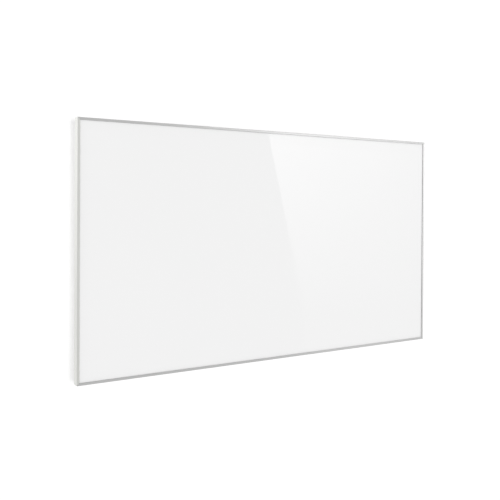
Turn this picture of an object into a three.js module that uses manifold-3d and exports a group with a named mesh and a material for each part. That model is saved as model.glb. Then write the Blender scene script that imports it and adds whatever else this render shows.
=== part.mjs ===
// Infrared panel heater: a white glass panel in a mitred aluminium frame, with its heating film,
// reflector, insulation and steel back, a rear wiring box with a rocker switch, and the wall rail
// that it hooks onto. Millimetres, +Z up. The wall is the plane Y = 0 and the glass faces -Y.
// The origin is the middle of the wall rail's rear face.

import * as THREE from "three";
import { mergeVertices } from "three/addons/utils/BufferGeometryUtils.js";
import Module from "manifold-3d";

const wasm = await Module();
wasm.setup();

// ------------------------------------------------------------------ driving dimensions

// Panel and its place over the wall rail
const PANEL_WIDTH = 900;
const PANEL_HEIGHT = 500;
const FRAME_DEPTH = 18;
const WALL_GAP = 24;
const PANEL_TOP_Z = 44;

// Clearances
const LAYER_GAP = 0.1;
const RUNNING_GAP = 0.3;
const MITRE_GAP = 0.1;
const HOLE_CLEARANCE = 0.2;

// Frame profile
const SIDE_THICK = 1.4;
const LIP_WIDTH = 5;
const LIP_THICK = 1.5;
const LIP_CHAMFER = 0.3;
const EDGE_RADIUS = 1;
const REAR_RADIUS = 0.5;
const WEB_THICK = 1.2;
const SHELF_REACH = 10.7;
const FLANGE_REACH = 12;
const KEY_LIP_WIDTH = 1.2;
const KEY_LIP_HEIGHT = 1.6;
const KEY_LEG = 38;
const KEY_CHAMFER = 1.5;

// Layers behind the lip, from front to back
const GASKET_THICK = 0.6;
const GASKET_SETBACK = 0.6;
const GLASS_THICK = 4;
const GLASS_EDGE_CLEARANCE = 1;
const GLASS_CORNER_RADIUS = 2;
const GLASS_ARRIS = 0.5;
const GLASS_PLAY = 0.2;
const ELEMENT_THICK = 1;
const ELEMENT_MARGIN = 15;
const ELEMENT_CORNER_RADIUS = 3;
const BUSBAR_WIDTH = 12;
const BUSBAR_END_MARGIN = 10;
const BUSBAR_SIDE_MARGIN = 4;
const FOIL_THICK = 0.3;
const FOIL_GAP = 6;
const BOARD_SIDE_GAP = 1;
const BOARD_CORNER_RADIUS = 4;
const CHANNEL_WIDTH = 11;
const CHANNEL_DEPTH = 5.2;
const CHANNEL_END_MARGIN = 8;
const POCKET_DEPTH = 3.7;
const POCKET_CLEARANCE = 1.1;

// Back plate
const PLATE_THICK = 0.8;
const PLATE_INSET = 0.1;
const PLATE_EDGE_GAP = 0.4;
const PLATE_CORNER_RADIUS = 3;
const BEAD_COUNT = 3;
const BEAD_WIDTH = 12;
const BEAD_HEIGHT = 2;
const BEAD_SLOPE = 2.5;
const BEAD_END_MARGIN = 120;
const BEAD_TOP_MARGIN = 110;
const BEAD_BOTTOM_MARGIN = 150;

// Fasteners: shank radius, length under the head, head radius and height
const PLATE_SCREW = { shank: 1.45, length: 7, head: 2.9, height: 2 };
const HANGER_SCREW = { shank: 1.9, length: 9, head: 3.8, height: 2.4 };
const LID_SCREW = { shank: 1.3, length: 9, head: 2.7, height: 1.8 };
const EARTH_SCREW = { shank: 1.9, length: 6, head: 3.4, height: 2.4 };
const BOX_SCREW = { shank: 1.6, length: 6, head: 3, height: 2.2 };
const SCREW_EDGE_DISTANCE = 6;
const PLATE_SCREW_FROM_CORNER = 60;

// Shares of a screw head's height or radius
const HEAD_SIDE_SHARE = 0.4;
const HEAD_CROWN_SHARE = 0.6;
const RECESS_ARM_SHARE = 0.55;
const RECESS_BLADE_SHARE = 0.12;

// Wall rail
const RAIL_LENGTH = 500;
const RAIL_HEIGHT = 28;
const RAIL_THICK = 1.5;
const RAIL_BEND = 2;
const RAIL_CORNER_RADIUS = 3;
const UPSTAND_OFFSET = 7;
const UPSTAND_HEIGHT = 12;
const SLOT_LENGTH = 14;
const SLOT_WIDTH = 6;
const SLOT_X = [-180, -60, 60, 180];

// Hangers on the panel's back
const HANGER_X = 200;
const HANGER_WIDTH = 70;
const HANGER_THICK = 1.5;
const HANGER_TOP_INSET = 2;
const HANGER_BELOW_RAIL_TOP = 21;
const HANGER_CORNER_RADIUS = 3;
const HOOK_WIDTH = 40;
const HOOK_RELIEF = 2;
const HOOK_ROOT = 4.5;
const HOOK_BEND = 1;
const HOOK_ENGAGEMENT = 9.7;
const HOOK_CLEARANCE = 0.8;

// Rubber wall buffers
const BUFFER_RADIUS = 11;
const BUFFER_FROM_SIDE = 70;
const BUFFER_FROM_BOTTOM = 60;
const BUFFER_RIM = 0.6;
const BUFFER_COLLAR = 5;
const BUFFER_STEP = 1.4;
const BUFFER_END_RADIUS = 8;
const BUFFER_END_CHAMFER = 1;
const BUFFER_STEM_RADIUS = 4;
const BUFFER_BARB_RADIUS = 5;
const BUFFER_BARB_TIP = 3;
const BUFFER_BARB_EDGE = 0.3;
const BUFFER_BARB_LENGTH = 3.3;

// Junction box
const BOX_WIDTH = 110;
const BOX_HEIGHT = 62;
const BOX_DEPTH = 18.5;
const BOX_WALL = 2;
const BOX_FLOOR = 1.8;
const BOX_CORNER_RADIUS = 3;
const BOX_FROM_SIDE = 165;
const BOX_FROM_BOTTOM = 65;
const LID_THICK = 2.2;
const LID_RIM_HEIGHT = 1.5;
const LID_RIM_WIDTH = 1.2;
const LID_RIM_RADIUS = 0.5;
const LID_BEVEL = 0.6;
const POST_RADIUS = 4;
const POST_INSET = 5.5;

// What the box holds, measured from its middle: X to the right and Z up
const BLOCK = { x: -23, z: 7, length: 30, height: 18, depth: 11 };
const CLAMP_PITCH = 10;
const CLAMP_SIDE = 5;
const CLAMP_LENGTH = 15;
const CLAMP_BORE = 1.4;
const CLAMP_ACCESS_RADIUS = 1.8;
const CRADLE_RIB = { thick: 1, height: 3 };
const GROMMET = { x: 27, z: 13, flange: 8, hole: 7, bore: 4.5, lip: 1.5 };
const EARTH = { x: 7, z: 3 };
const BOX_FIXING = { x: -23, z: 23.5 };
const GLAND_X = -27;
const SWITCH_X = 20;

// Cable gland
const GLAND_ROOM_GAP = 0.6;
const GLAND_NUT_WALL = 1.1;
const GLAND_TUBE_WALL = 1.9;
const GLAND_SEAT_WALL = 1;
const GLAND_FLANGE = 4;
const GLAND_SPIGOT = 8;
const GLAND_STUB = 6;
const SEAL_SEAT_DEPTH = 4;
const SEAL_WALL = 1.4;
const SEAL_HEAD_LENGTH = 1.7;
const LOCKNUT_HEIGHT = 3.5;
const CAP_FLOOR = 3.7;
const CAP_MOUTH_GAP = 0.4;
const CAP_MOUTH_WALL = 1;
const CAP_DOME = 5.3;
const CAP_SHOULDER = { radiusGain: 0.5, heightShare: 0.35 };

// Rocker switch
const BEZEL = { length: 15, depth: 10.4, height: 1.6, radius: 1 };
const SWITCH_BODY = { length: 13, depth: 8.6, height: 11 };
const SWITCH_WALL = 0.8;
const SWITCH_SIDE_WALL = 0.9;
const SWITCH_CAVITY = 8;
const PIVOT_HEIGHT = 1.8;
const TRUNNION_RADIUS = 1;
const TRUNNION_LENGTH = 0.8;
const ROCKER_HALF_LENGTH = 4.9;
const ROCKER_PROUD = 0.2;
const ROCKER_SHOULDER = 0.6;
const ROCKER_FOOT = { halfLength: 2.2, depth: 4.5 };
const ROCKER_TILT = THREE.MathUtils.degToRad(8);
const BLADE = { x: 3.5, width: 3, thick: 0.8, length: 5 };

// Leads
const LEAD_RADIUS = 1.1;
const LEAD_BEND = 5;
const LEAD_IN_CLAMP = 3;
const LEAD_RISE = 3;
const LEAD_SPREAD = 5;
const LEAD_CROSSING_GAP = 0.7;
const LEAD_PAIR_OFFSET = 2.4;
const LEAD_AT_SWITCH = 6;
const CUTOUT = { length: 20, width: 8, thick: 3.6, radius: 1, chamfer: 0.5 };
const CUTOUT_OFFSETS = [112, 192];

// Facets
const ARC_STEPS = 2;
const BEND_STEPS = 4;
const FASTENER_SIDES = 12;
const ROUND_SIDES = 20;
const LEAD_SIDES = 8;
const LEAD_BEND_STEPS = 3;

// ------------------------------------------------------------------ depths, from the lip's front

const GASKET_FRONT = LIP_THICK + LAYER_GAP;
const GLASS_FRONT = GASKET_FRONT + GASKET_THICK + LAYER_GAP;
const GLASS_BACK = GLASS_FRONT + GLASS_THICK;
const SHELF_FRONT = GLASS_BACK + GLASS_PLAY;
const SHELF_BACK = SHELF_FRONT + WEB_THICK;
const ELEMENT_FRONT = GLASS_BACK + LAYER_GAP;
const FOIL_FRONT = ELEMENT_FRONT + ELEMENT_THICK + LAYER_GAP;
const FOIL_BACK = FOIL_FRONT + FOIL_THICK;
const BOARD_FRONT = FOIL_BACK + LAYER_GAP;
const PLATE_BACK = FRAME_DEPTH - PLATE_INSET;
const PLATE_FRONT = PLATE_BACK - PLATE_THICK;
const BOARD_BACK = PLATE_FRONT - LAYER_GAP;
const FLANGE_BACK = PLATE_FRONT - LAYER_GAP;
const FLANGE_FRONT = FLANGE_BACK - WEB_THICK;
const REAR_SEAT = PLATE_BACK + LAYER_GAP;
const WALL_PLANE = FRAME_DEPTH + WALL_GAP;

// Places shared by several pieces, from the panel's middle
const HALF_WIDTH = PANEL_WIDTH / 2;
const HALF_HEIGHT = PANEL_HEIGHT / 2;
const BOX_X = HALF_WIDTH - BOX_FROM_SIDE;
const BOX_Z = -HALF_HEIGHT + BOX_FROM_BOTTOM;
const CHANNEL_Z = BOX_Z + GROMMET.z;
const GROMMET_X = BOX_X + GROMMET.x;
const BUFFER_X = HALF_WIDTH - BUFFER_FROM_SIDE;
const BUFFER_Z = -HALF_HEIGHT + BUFFER_FROM_BOTTOM;
const SCREW_ROW_X = HALF_WIDTH - PLATE_SCREW_FROM_CORNER;
const HANGER_SCREW_X = (HANGER_WIDTH / 2 + HOOK_WIDTH / 2 + HOOK_RELIEF) / 2;
const KEY_REACH = SHELF_REACH - KEY_LIP_WIDTH;
const ELEMENT_HALF_WIDTH = HALF_WIDTH - ELEMENT_MARGIN;
const ELEMENT_HALF_HEIGHT = HALF_HEIGHT - ELEMENT_MARGIN;
const BUSBAR_X = ELEMENT_HALF_WIDTH - BUSBAR_SIDE_MARGIN - BUSBAR_WIDTH / 2;
const RAIL_TOP_Z = RAIL_HEIGHT / 2 + UPSTAND_HEIGHT;

// ------------------------------------------------------------------ materials

function finish(color, roughness, metalness) {
  return new THREE.MeshStandardMaterial({ color, roughness, metalness });
}

const WHITE_GLASS = finish(0xf3f3f2, 0.08, 0);
const ANODISED = finish(0xc3c4c5, 0.35, 0.9);
const POWDER_COAT = finish(0xe4e4e0, 0.55, 0.2);
const ZINC = finish(0xb4b6b8, 0.4, 0.9);
const BRASS = finish(0xc9a85a, 0.3, 0.9);
const COPPER = finish(0xb87a55, 0.35, 0.9);
const FOIL = finish(0xd4d5d6, 0.2, 1);
const MICA = finish(0x2c2b2a, 0.6, 0);
const MINERAL = finish(0xcfc8b4, 0.95, 0);
const GREY_PLASTIC = finish(0xd6d7d5, 0.6, 0);
const BLACK_PLASTIC = finish(0x1c1c1d, 0.5, 0);
const CREAM_PLASTIC = finish(0xe8e2cc, 0.5, 0);
const RUBBER = finish(0x242424, 0.85, 0);
const BROWN_LEAD = finish(0x5f3a22, 0.6, 0);
const BLUE_LEAD = finish(0x2c5a9a, 0.6, 0);
const EARTH_LEAD = finish(0x6f9a2e, 0.6, 0);

// ------------------------------------------------------------------ solids

const MERGE_DISTANCE = 1e-5;

// Turns a three.js geometry into a solid with its faces pointing out.
function solid(geometry) {
  const bare = geometry.clone();
  bare.deleteAttribute("normal");
  bare.deleteAttribute("uv");
  const merged = mergeVertices(bare, MERGE_DISTANCE);
  const points = merged.attributes.position.array;
  const corners = [];
  for (let i = 0; i < merged.index.count; i += 3) {
    const [a, b, c] = merged.index.array.slice(i, i + 3);
    if (a !== b && b !== c && c !== a) corners.push([a, b, c]);
  }
  const inward = signedVolume(points, corners) < 0;
  const triVerts = Uint32Array.from(corners.flatMap(([a, b, c]) => (inward ? [a, c, b] : [a, b, c])));
  const mesh = new wasm.Mesh({ numProp: 3, vertProperties: Float32Array.from(points), triVerts });
  return new wasm.Manifold(mesh);
}

function signedVolume(points, corners) {
  const at = (index) => new THREE.Vector3().fromArray(points, index * 3);
  return corners.reduce((sum, [a, b, c]) => sum + at(a).dot(at(b).cross(at(c))), 0);
}

function geometryOf(shape) {
  const mesh = shape.getMesh();
  const geometry = new THREE.BufferGeometry();
  geometry.setAttribute("position", new THREE.BufferAttribute(mesh.vertProperties, 3));
  geometry.setIndex(new THREE.BufferAttribute(mesh.triVerts, 1));
  geometry.computeVertexNormals();
  return geometry;
}

function addPart(parent, name, shape, material, place = [0, 0, 0]) {
  const mesh = new THREE.Mesh(geometryOf(shape), material);
  mesh.name = name;
  mesh.position.set(...place);
  parent.add(mesh);
  return mesh;
}

function addGroup(parent, place) {
  const group = new THREE.Group();
  group.position.set(...place);
  parent.add(group);
  return group;
}

// A block between two corners.
function block(x0, x1, y0, y1, z0, z1) {
  const geometry = new THREE.BoxGeometry(x1 - x0, y1 - y0, z1 - z0);
  geometry.translate((x0 + x1) / 2, (y0 + y1) / 2, (z0 + z1) / 2);
  return solid(geometry);
}

// An outline in X and Z, extruded along +Y from y0, with an optional chamfer all round.
function slab(outline, y0, thickness, chamfer = 0) {
  const geometry = new THREE.ExtrudeGeometry(outline, {
    depth: thickness - 2 * chamfer,
    curveSegments: ARC_STEPS,
    bevelEnabled: chamfer > 0,
    bevelThickness: chamfer,
    bevelSize: chamfer,
    bevelOffset: -chamfer,
    bevelSegments: 1,
  });
  geometry.rotateX(Math.PI / 2);
  geometry.translate(0, y0 + thickness - chamfer, 0);
  return solid(geometry);
}

// An outline in Y and Z, extruded along X and centred on it.
function alongX(outline, length) {
  const geometry = new THREE.ExtrudeGeometry(outline, { depth: length, bevelEnabled: false });
  geometry.translate(0, 0, -length / 2);
  geometry.applyMatrix4(new THREE.Matrix4().set(0, 0, 1, 0, 1, 0, 0, 0, 0, 1, 0, 0, 0, 0, 0, 1));
  return solid(geometry);
}

// A profile of [radius, y] points turned about the Y axis.
function turned(profile, sides = ROUND_SIDES) {
  const points = profile.map(([radius, y]) => new THREE.Vector2(radius, y));
  return solid(new THREE.LatheGeometry(points, sides));
}

// A ring turned about the Y axis: its profile closes on itself.
function turnedRing(profile, sides = ROUND_SIDES) {
  return turned([...profile, profile[0]], sides);
}

function rod(radius, y0, y1, sides = ROUND_SIDES) {
  return turned([[0, y0], [radius, y0], [radius, y1], [0, y1]], sides);
}

function rodAt(x, z, radius, y0, y1, sides = ROUND_SIDES) {
  return rod(radius, y0, y1, sides).translate(x, 0, z);
}

function roundedRect(width, height, radius) {
  const x = width / 2 - radius;
  const y = height / 2 - radius;
  const shape = new THREE.Shape();
  shape.absarc(x, y, radius, 0, Math.PI / 2);
  shape.absarc(-x, y, radius, Math.PI / 2, Math.PI);
  shape.absarc(-x, -y, radius, Math.PI, Math.PI * 1.5);
  shape.absarc(x, -y, radius, Math.PI * 1.5, Math.PI * 2);
  return shape;
}

function polygon(points) {
  return new THREE.Shape(points.map(([x, y]) => new THREE.Vector2(x, y)));
}

function hexagon(acrossFlats) {
  const radius = acrossFlats / Math.sqrt(3);
  const corners = [0, 1, 2, 3, 4, 5].map((corner) => (corner * Math.PI) / 3);
  return polygon(corners.map((angle) => [radius * Math.cos(angle), radius * Math.sin(angle)]));
}

// The outline of a bent sheet. The corners lie on one face and the thickness is to its left.
function bentStrip(corners, thickness, bendRadius) {
  const path = corners.map(([x, y]) => new THREE.Vector2(x, y));
  const leftOf = (from, to) => {
    const along = to.clone().sub(from).normalize();
    return new THREE.Vector2(-along.y, along.x);
  };
  const face = [path[0].clone()];
  const back = [path[0].clone().addScaledVector(leftOf(path[0], path[1]), thickness)];
  for (let i = 1; i < path.length - 1; i += 1) {
    const before = leftOf(path[i - 1], path[i]);
    const after = leftOf(path[i], path[i + 1]);
    const turn = Math.sign(before.cross(after));
    const reach = turn * bendRadius + (turn > 0 ? thickness : 0);
    const across = before.clone().add(after);
    const centre = path[i].clone().addScaledVector(across, reach / across.dot(before));
    const sweep = Math.atan2(before.cross(after), before.dot(after));
    for (let step = 0; step <= BEND_STEPS; step += 1) {
      const normal = before.clone().rotateAround(new THREE.Vector2(), (sweep * step) / BEND_STEPS);
      face.push(centre.clone().addScaledVector(normal, -reach));
      back.push(centre.clone().addScaledVector(normal, thickness - reach));
    }
  }
  const end = path[path.length - 1];
  face.push(end.clone());
  back.push(end.clone().addScaledVector(leftOf(path[path.length - 2], end), thickness));
  return new THREE.Shape([...face, ...back.reverse()]);
}

// ------------------------------------------------------------------ frame

function frameProfile() {
  const shape = new THREE.Shape();
  shape.absarc(EDGE_RADIUS, EDGE_RADIUS, EDGE_RADIUS, Math.PI, Math.PI * 1.5);
  shape.lineTo(LIP_WIDTH - LIP_CHAMFER, 0);
  shape.lineTo(LIP_WIDTH, LIP_CHAMFER);
  shape.lineTo(LIP_WIDTH, LIP_THICK);
  shape.lineTo(SIDE_THICK, LIP_THICK);
  shape.lineTo(SIDE_THICK, SHELF_FRONT);
  shape.lineTo(SHELF_REACH, SHELF_FRONT);
  shape.lineTo(SHELF_REACH, SHELF_BACK + KEY_LIP_HEIGHT);
  shape.lineTo(KEY_REACH, SHELF_BACK + KEY_LIP_HEIGHT);
  shape.lineTo(KEY_REACH, SHELF_BACK);
  shape.lineTo(SIDE_THICK, SHELF_BACK);
  shape.lineTo(SIDE_THICK, FLANGE_FRONT);
  shape.lineTo(KEY_REACH, FLANGE_FRONT);
  shape.lineTo(KEY_REACH, FLANGE_FRONT - KEY_LIP_HEIGHT);
  shape.lineTo(SHELF_REACH, FLANGE_FRONT - KEY_LIP_HEIGHT);
  shape.lineTo(SHELF_REACH, FLANGE_FRONT);
  shape.lineTo(FLANGE_REACH, FLANGE_FRONT);
  shape.lineTo(FLANGE_REACH, FLANGE_BACK);
  shape.lineTo(SIDE_THICK, FLANGE_BACK);
  shape.lineTo(SIDE_THICK, FRAME_DEPTH);
  shape.lineTo(REAR_RADIUS, FRAME_DEPTH);
  shape.lineTo(0, FRAME_DEPTH - REAR_RADIUS);
  return shape;
}

// A bar of the frame: X runs in from its outer side, Y back, Z along it. Both ends are mitred.
// Each hole is [distance along the bar, shank radius] and goes through the rear flange.
function frameBar(length, holes) {
  const geometry = new THREE.ExtrudeGeometry(frameProfile(), {
    depth: 1,
    curveSegments: ARC_STEPS,
    bevelEnabled: false,
  });
  const position = geometry.attributes.position;
  for (let i = 0; i < position.count; i += 1) {
    const inset = position.getX(i) + MITRE_GAP;
    position.setZ(i, position.getZ(i) < 0.5 ? inset : length - inset);
  }
  return holes.reduce((bar, [along, shank]) => {
    const radius = shank + HOLE_CLEARANCE;
    const place = [SCREW_EDGE_DISTANCE, along];
    return bar.subtract(rodAt(...place, radius, FLANGE_FRONT - 1, FLANGE_BACK + 1, FASTENER_SIDES));
  }, solid(geometry));
}

// An angle piece in the bars' rear channels: its outer corner is at 0, 0 and it runs +X and +Z.
function cornerKey() {
  const outer = SIDE_THICK + RUNNING_GAP;
  const inner = KEY_REACH - RUNNING_GAP;
  const tip = KEY_LEG - KEY_CHAMFER;
  const outline = polygon([
    [outer, outer],
    [tip, outer],
    [KEY_LEG, outer + KEY_CHAMFER],
    [KEY_LEG, inner - KEY_CHAMFER],
    [tip, inner],
    [inner, inner],
    [inner, tip],
    [inner - KEY_CHAMFER, KEY_LEG],
    [outer + KEY_CHAMFER, KEY_LEG],
    [outer, tip],
  ]);
  const front = SHELF_BACK + RUNNING_GAP;
  return slab(outline, front, FLANGE_FRONT - RUNNING_GAP - front);
}

// The hangers' screws and the back plate's screws along the top and bottom bars, as [x, screw].
function topScrews() {
  const hangers = [-HANGER_X, HANGER_X].flatMap((x) => [x - HANGER_SCREW_X, x + HANGER_SCREW_X]);
  return [...edgeScrews(), ...hangers.map((x) => [x, HANGER_SCREW])];
}

function edgeScrews() {
  return [-SCREW_ROW_X, 0, SCREW_ROW_X].map((x) => [x, PLATE_SCREW]);
}

function addFrame(parent) {
  const quarter = Math.PI / 2;
  const topHoles = topScrews().map(([x, screw]) => [x + HALF_WIDTH, screw.shank]);
  const bottomHoles = edgeScrews().map(([x, screw]) => [HALF_WIDTH - x, screw.shank]);
  const sideHoles = [[HALF_HEIGHT, PLATE_SCREW.shank]];
  const bars = [
    ["top", PANEL_WIDTH, topHoles, -1, 1, quarter],
    ["bottom", PANEL_WIDTH, bottomHoles, 1, -1, -quarter],
    ["left", PANEL_HEIGHT, sideHoles, -1, -1, 0],
    ["right", PANEL_HEIGHT, sideHoles, 1, 1, 2 * quarter],
  ];
  for (const [side, length, holes, signX, signZ, turn] of bars) {
    const corner = [signX * HALF_WIDTH, 0, signZ * HALF_HEIGHT];
    const bar = addPart(parent, `frame_${side}`, frameBar(length, holes), ANODISED, corner);
    bar.rotation.y = turn;
  }
  const keyCorners = [[-1, -1, 0], [1, -1, -quarter], [1, 1, 2 * quarter], [-1, 1, quarter]];
  keyCorners.forEach(([signX, signZ, turn], i) => {
    const corner = [signX * HALF_WIDTH, 0, signZ * HALF_HEIGHT];
    const key = addPart(parent, `corner_key_${i + 1}`, cornerKey(), ANODISED, corner);
    key.rotation.y = turn;
  });
}

// ------------------------------------------------------------------ layers

function glass() {
  const inset = SIDE_THICK + GLASS_EDGE_CLEARANCE;
  const outline = roundedRect(PANEL_WIDTH - 2 * inset, PANEL_HEIGHT - 2 * inset, GLASS_CORNER_RADIUS);
  return slab(outline, GLASS_FRONT, GLASS_THICK, GLASS_ARRIS);
}

function gasket() {
  const outer = SIDE_THICK + RUNNING_GAP;
  const inner = LIP_WIDTH - GASKET_SETBACK;
  const sheet = (inset, y0, y1) => {
    const x = HALF_WIDTH - inset;
    const z = HALF_HEIGHT - inset;
    return block(-x, x, y0, y1, -z, z);
  };
  const back = GASKET_FRONT + GASKET_THICK;
  return sheet(outer, GASKET_FRONT, back).subtract(sheet(inner, GASKET_FRONT - 1, back + 1));
}

function heatingElement() {
  const outline = roundedRect(2 * ELEMENT_HALF_WIDTH, 2 * ELEMENT_HALF_HEIGHT, ELEMENT_CORNER_RADIUS);
  return slab(outline, ELEMENT_FRONT, ELEMENT_THICK);
}

function busbar() {
  const half = ELEMENT_HALF_HEIGHT - BUSBAR_END_MARGIN;
  return block(-BUSBAR_WIDTH / 2, BUSBAR_WIDTH / 2, FOIL_FRONT, FOIL_BACK, -half, half);
}

function reflectorFoil() {
  const halfWidth = BUSBAR_X - BUSBAR_WIDTH / 2 - FOIL_GAP;
  const halfHeight = ELEMENT_HALF_HEIGHT - BUSBAR_END_MARGIN;
  return block(-halfWidth, halfWidth, FOIL_FRONT, FOIL_BACK, -halfHeight, halfHeight);
}

// The points behind the plate where something pushes into the board: [x, z, radius].
function boardPockets() {
  const screwAt = ({ x, z }, screw) => [BOX_X + x, BOX_Z + z, screw.shank + POCKET_CLEARANCE];
  const stem = BUFFER_BARB_RADIUS + POCKET_CLEARANCE;
  return [
    screwAt(EARTH, EARTH_SCREW),
    screwAt(BOX_FIXING, BOX_SCREW),
    [-BUFFER_X, BUFFER_Z, stem],
    [BUFFER_X, BUFFER_Z, stem],
  ];
}

function insulationBoard() {
  const inset = FLANGE_REACH + BOARD_SIDE_GAP;
  const outline = roundedRect(PANEL_WIDTH - 2 * inset, PANEL_HEIGHT - 2 * inset, BOARD_CORNER_RADIUS);
  const channelEnd = HALF_WIDTH - inset - CHANNEL_END_MARGIN;
  const channelLow = CHANNEL_Z - CHANNEL_WIDTH / 2;
  const channelFloor = BOARD_FRONT + CHANNEL_DEPTH;
  let board = slab(outline, BOARD_FRONT, BOARD_BACK - BOARD_FRONT);
  board = board.subtract(
    block(-channelEnd, channelEnd, BOARD_FRONT - 1, channelFloor, channelLow, channelLow + CHANNEL_WIDTH)
  );
  const passage = GROMMET.flange + POCKET_CLEARANCE;
  board = board.subtract(rodAt(GROMMET_X, CHANNEL_Z, passage, BOARD_FRONT - 1, BOARD_BACK + 1));
  for (const [x, z, radius] of boardPockets()) {
    board = board.subtract(rodAt(x, z, radius, BOARD_BACK - POCKET_DEPTH, BOARD_BACK + 1, FASTENER_SIDES));
  }
  return board;
}

// ------------------------------------------------------------------ back plate

// A pressed bead: its outer form is added to the plate and its inner form is cut out.
function pressedBead(plate, halfLength, z) {
  const form = (width, top) => {
    const geometry = new THREE.ExtrudeGeometry(roundedRect(2 * halfLength + width, width, width / 2), {
      depth: BEAD_HEIGHT,
      curveSegments: ARC_STEPS,
      bevelThickness: BEAD_HEIGHT,
      bevelSize: BEAD_SLOPE,
      bevelOffset: -BEAD_SLOPE,
      bevelSegments: 2,
    });
    geometry.rotateX(Math.PI / 2);
    geometry.translate(0, top, z);
    return solid(geometry);
  };
  const outer = form(BEAD_WIDTH, PLATE_BACK);
  const inner = form(BEAD_WIDTH - PLATE_THICK, PLATE_FRONT);
  const front = PLATE_BACK - LAYER_GAP;
  const behind = block(-HALF_WIDTH, HALF_WIDTH, front, WALL_PLANE, z - BEAD_WIDTH, z + BEAD_WIDTH);
  return plate.add(outer.intersect(behind)).subtract(inner);
}

function backPlate() {
  const inset = SIDE_THICK + PLATE_EDGE_GAP;
  const outline = roundedRect(PANEL_WIDTH - 2 * inset, PANEL_HEIGHT - 2 * inset, PLATE_CORNER_RADIUS);
  let plate = slab(outline, PLATE_FRONT, PLATE_THICK);
  const highest = HALF_HEIGHT - BEAD_TOP_MARGIN;
  const lowest = -HALF_HEIGHT + BEAD_BOTTOM_MARGIN;
  for (let i = 0; i < BEAD_COUNT; i += 1) {
    const z = THREE.MathUtils.lerp(highest, lowest, i / (BEAD_COUNT - 1));
    plate = pressedBead(plate, HALF_WIDTH - BEAD_END_MARGIN, z);
  }
  const edge = HALF_HEIGHT - SCREW_EDGE_DISTANCE;
  const side = HALF_WIDTH - SCREW_EDGE_DISTANCE;
  const holes = [
    ...topScrews().map(([x, screw]) => [x, edge, screw.shank]),
    ...edgeScrews().map(([x, screw]) => [x, -edge, screw.shank]),
    [-side, 0, PLATE_SCREW.shank],
    [side, 0, PLATE_SCREW.shank],
    [BOX_X + EARTH.x, BOX_Z + EARTH.z, EARTH_SCREW.shank],
    [BOX_X + BOX_FIXING.x, BOX_Z + BOX_FIXING.z, BOX_SCREW.shank],
    [GROMMET_X, CHANNEL_Z, GROMMET.hole - HOLE_CLEARANCE],
    [-BUFFER_X, BUFFER_Z, BUFFER_STEM_RADIUS],
    [BUFFER_X, BUFFER_Z, BUFFER_STEM_RADIUS],
  ];
  for (const [x, z, radius] of holes) {
    const drill = rodAt(x, z, radius + HOLE_CLEARANCE, PLATE_FRONT - 1, PLATE_BACK + 1, FASTENER_SIDES);
    plate = plate.subtract(drill);
  }
  return plate;
}

// A pan-head screw: its head stands on the plane Y = 0 and its shank goes towards -Y.
function panScrew({ shank, length, head, height }) {
  const body = turned(
    [
      [0, -length],
      [shank / 2, -length],
      [shank, -length + shank],
      [shank, 0],
      [head, 0],
      [head, height * HEAD_SIDE_SHARE],
      [head * HEAD_CROWN_SHARE, height],
      [0, height],
    ],
    FASTENER_SIDES
  );
  const arm = head * RECESS_ARM_SHARE;
  const blade = head * RECESS_BLADE_SHARE;
  const floor = height * HEAD_SIDE_SHARE;
  const recess = block(-arm, arm, floor, height + 1, -blade, blade).add(
    block(-blade, blade, floor, height + 1, -arm, arm)
  );
  return body.subtract(recess);
}

function addBackPlate(parent) {
  addPart(parent, "back_plate", backPlate(), POWDER_COAT);
  const edge = HALF_HEIGHT - SCREW_EDGE_DISTANCE;
  const side = HALF_WIDTH - SCREW_EDGE_DISTANCE;
  const places = [
    ...edgeScrews().map(([x]) => [x, edge]),
    ...edgeScrews().map(([x]) => [x, -edge]),
    [-side, 0],
    [side, 0],
  ];
  places.forEach(([x, z], i) => {
    addPart(parent, `back_plate_screw_${i + 1}`, panScrew(PLATE_SCREW), ZINC, [x, REAR_SEAT, z]);
  });
}

// ------------------------------------------------------------------ wall mounting

function wallRail() {
  const low = -RAIL_HEIGHT / 2;
  const high = RAIL_HEIGHT / 2;
  const section = bentStrip(
    [[0, low], [0, high], [-UPSTAND_OFFSET, high], [-UPSTAND_OFFSET, RAIL_TOP_Z]],
    RAIL_THICK,
    RAIL_BEND
  );
  const depth = UPSTAND_OFFSET + RAIL_THICK;
  const outline = roundedRect(RAIL_LENGTH, RAIL_TOP_Z - low, RAIL_CORNER_RADIUS);
  const blank = slab(outline, -depth - 1, depth + 2).translate(0, 0, (RAIL_TOP_Z + low) / 2);
  const slot = slab(roundedRect(SLOT_LENGTH, SLOT_WIDTH, SLOT_WIDTH / 2), -RAIL_THICK - 1, RAIL_THICK + 2);
  return SLOT_X.reduce(
    (rail, x) => rail.subtract(slot.translate(x, 0, 0)),
    alongX(section, RAIL_LENGTH).intersect(blank)
  );
}

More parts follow.
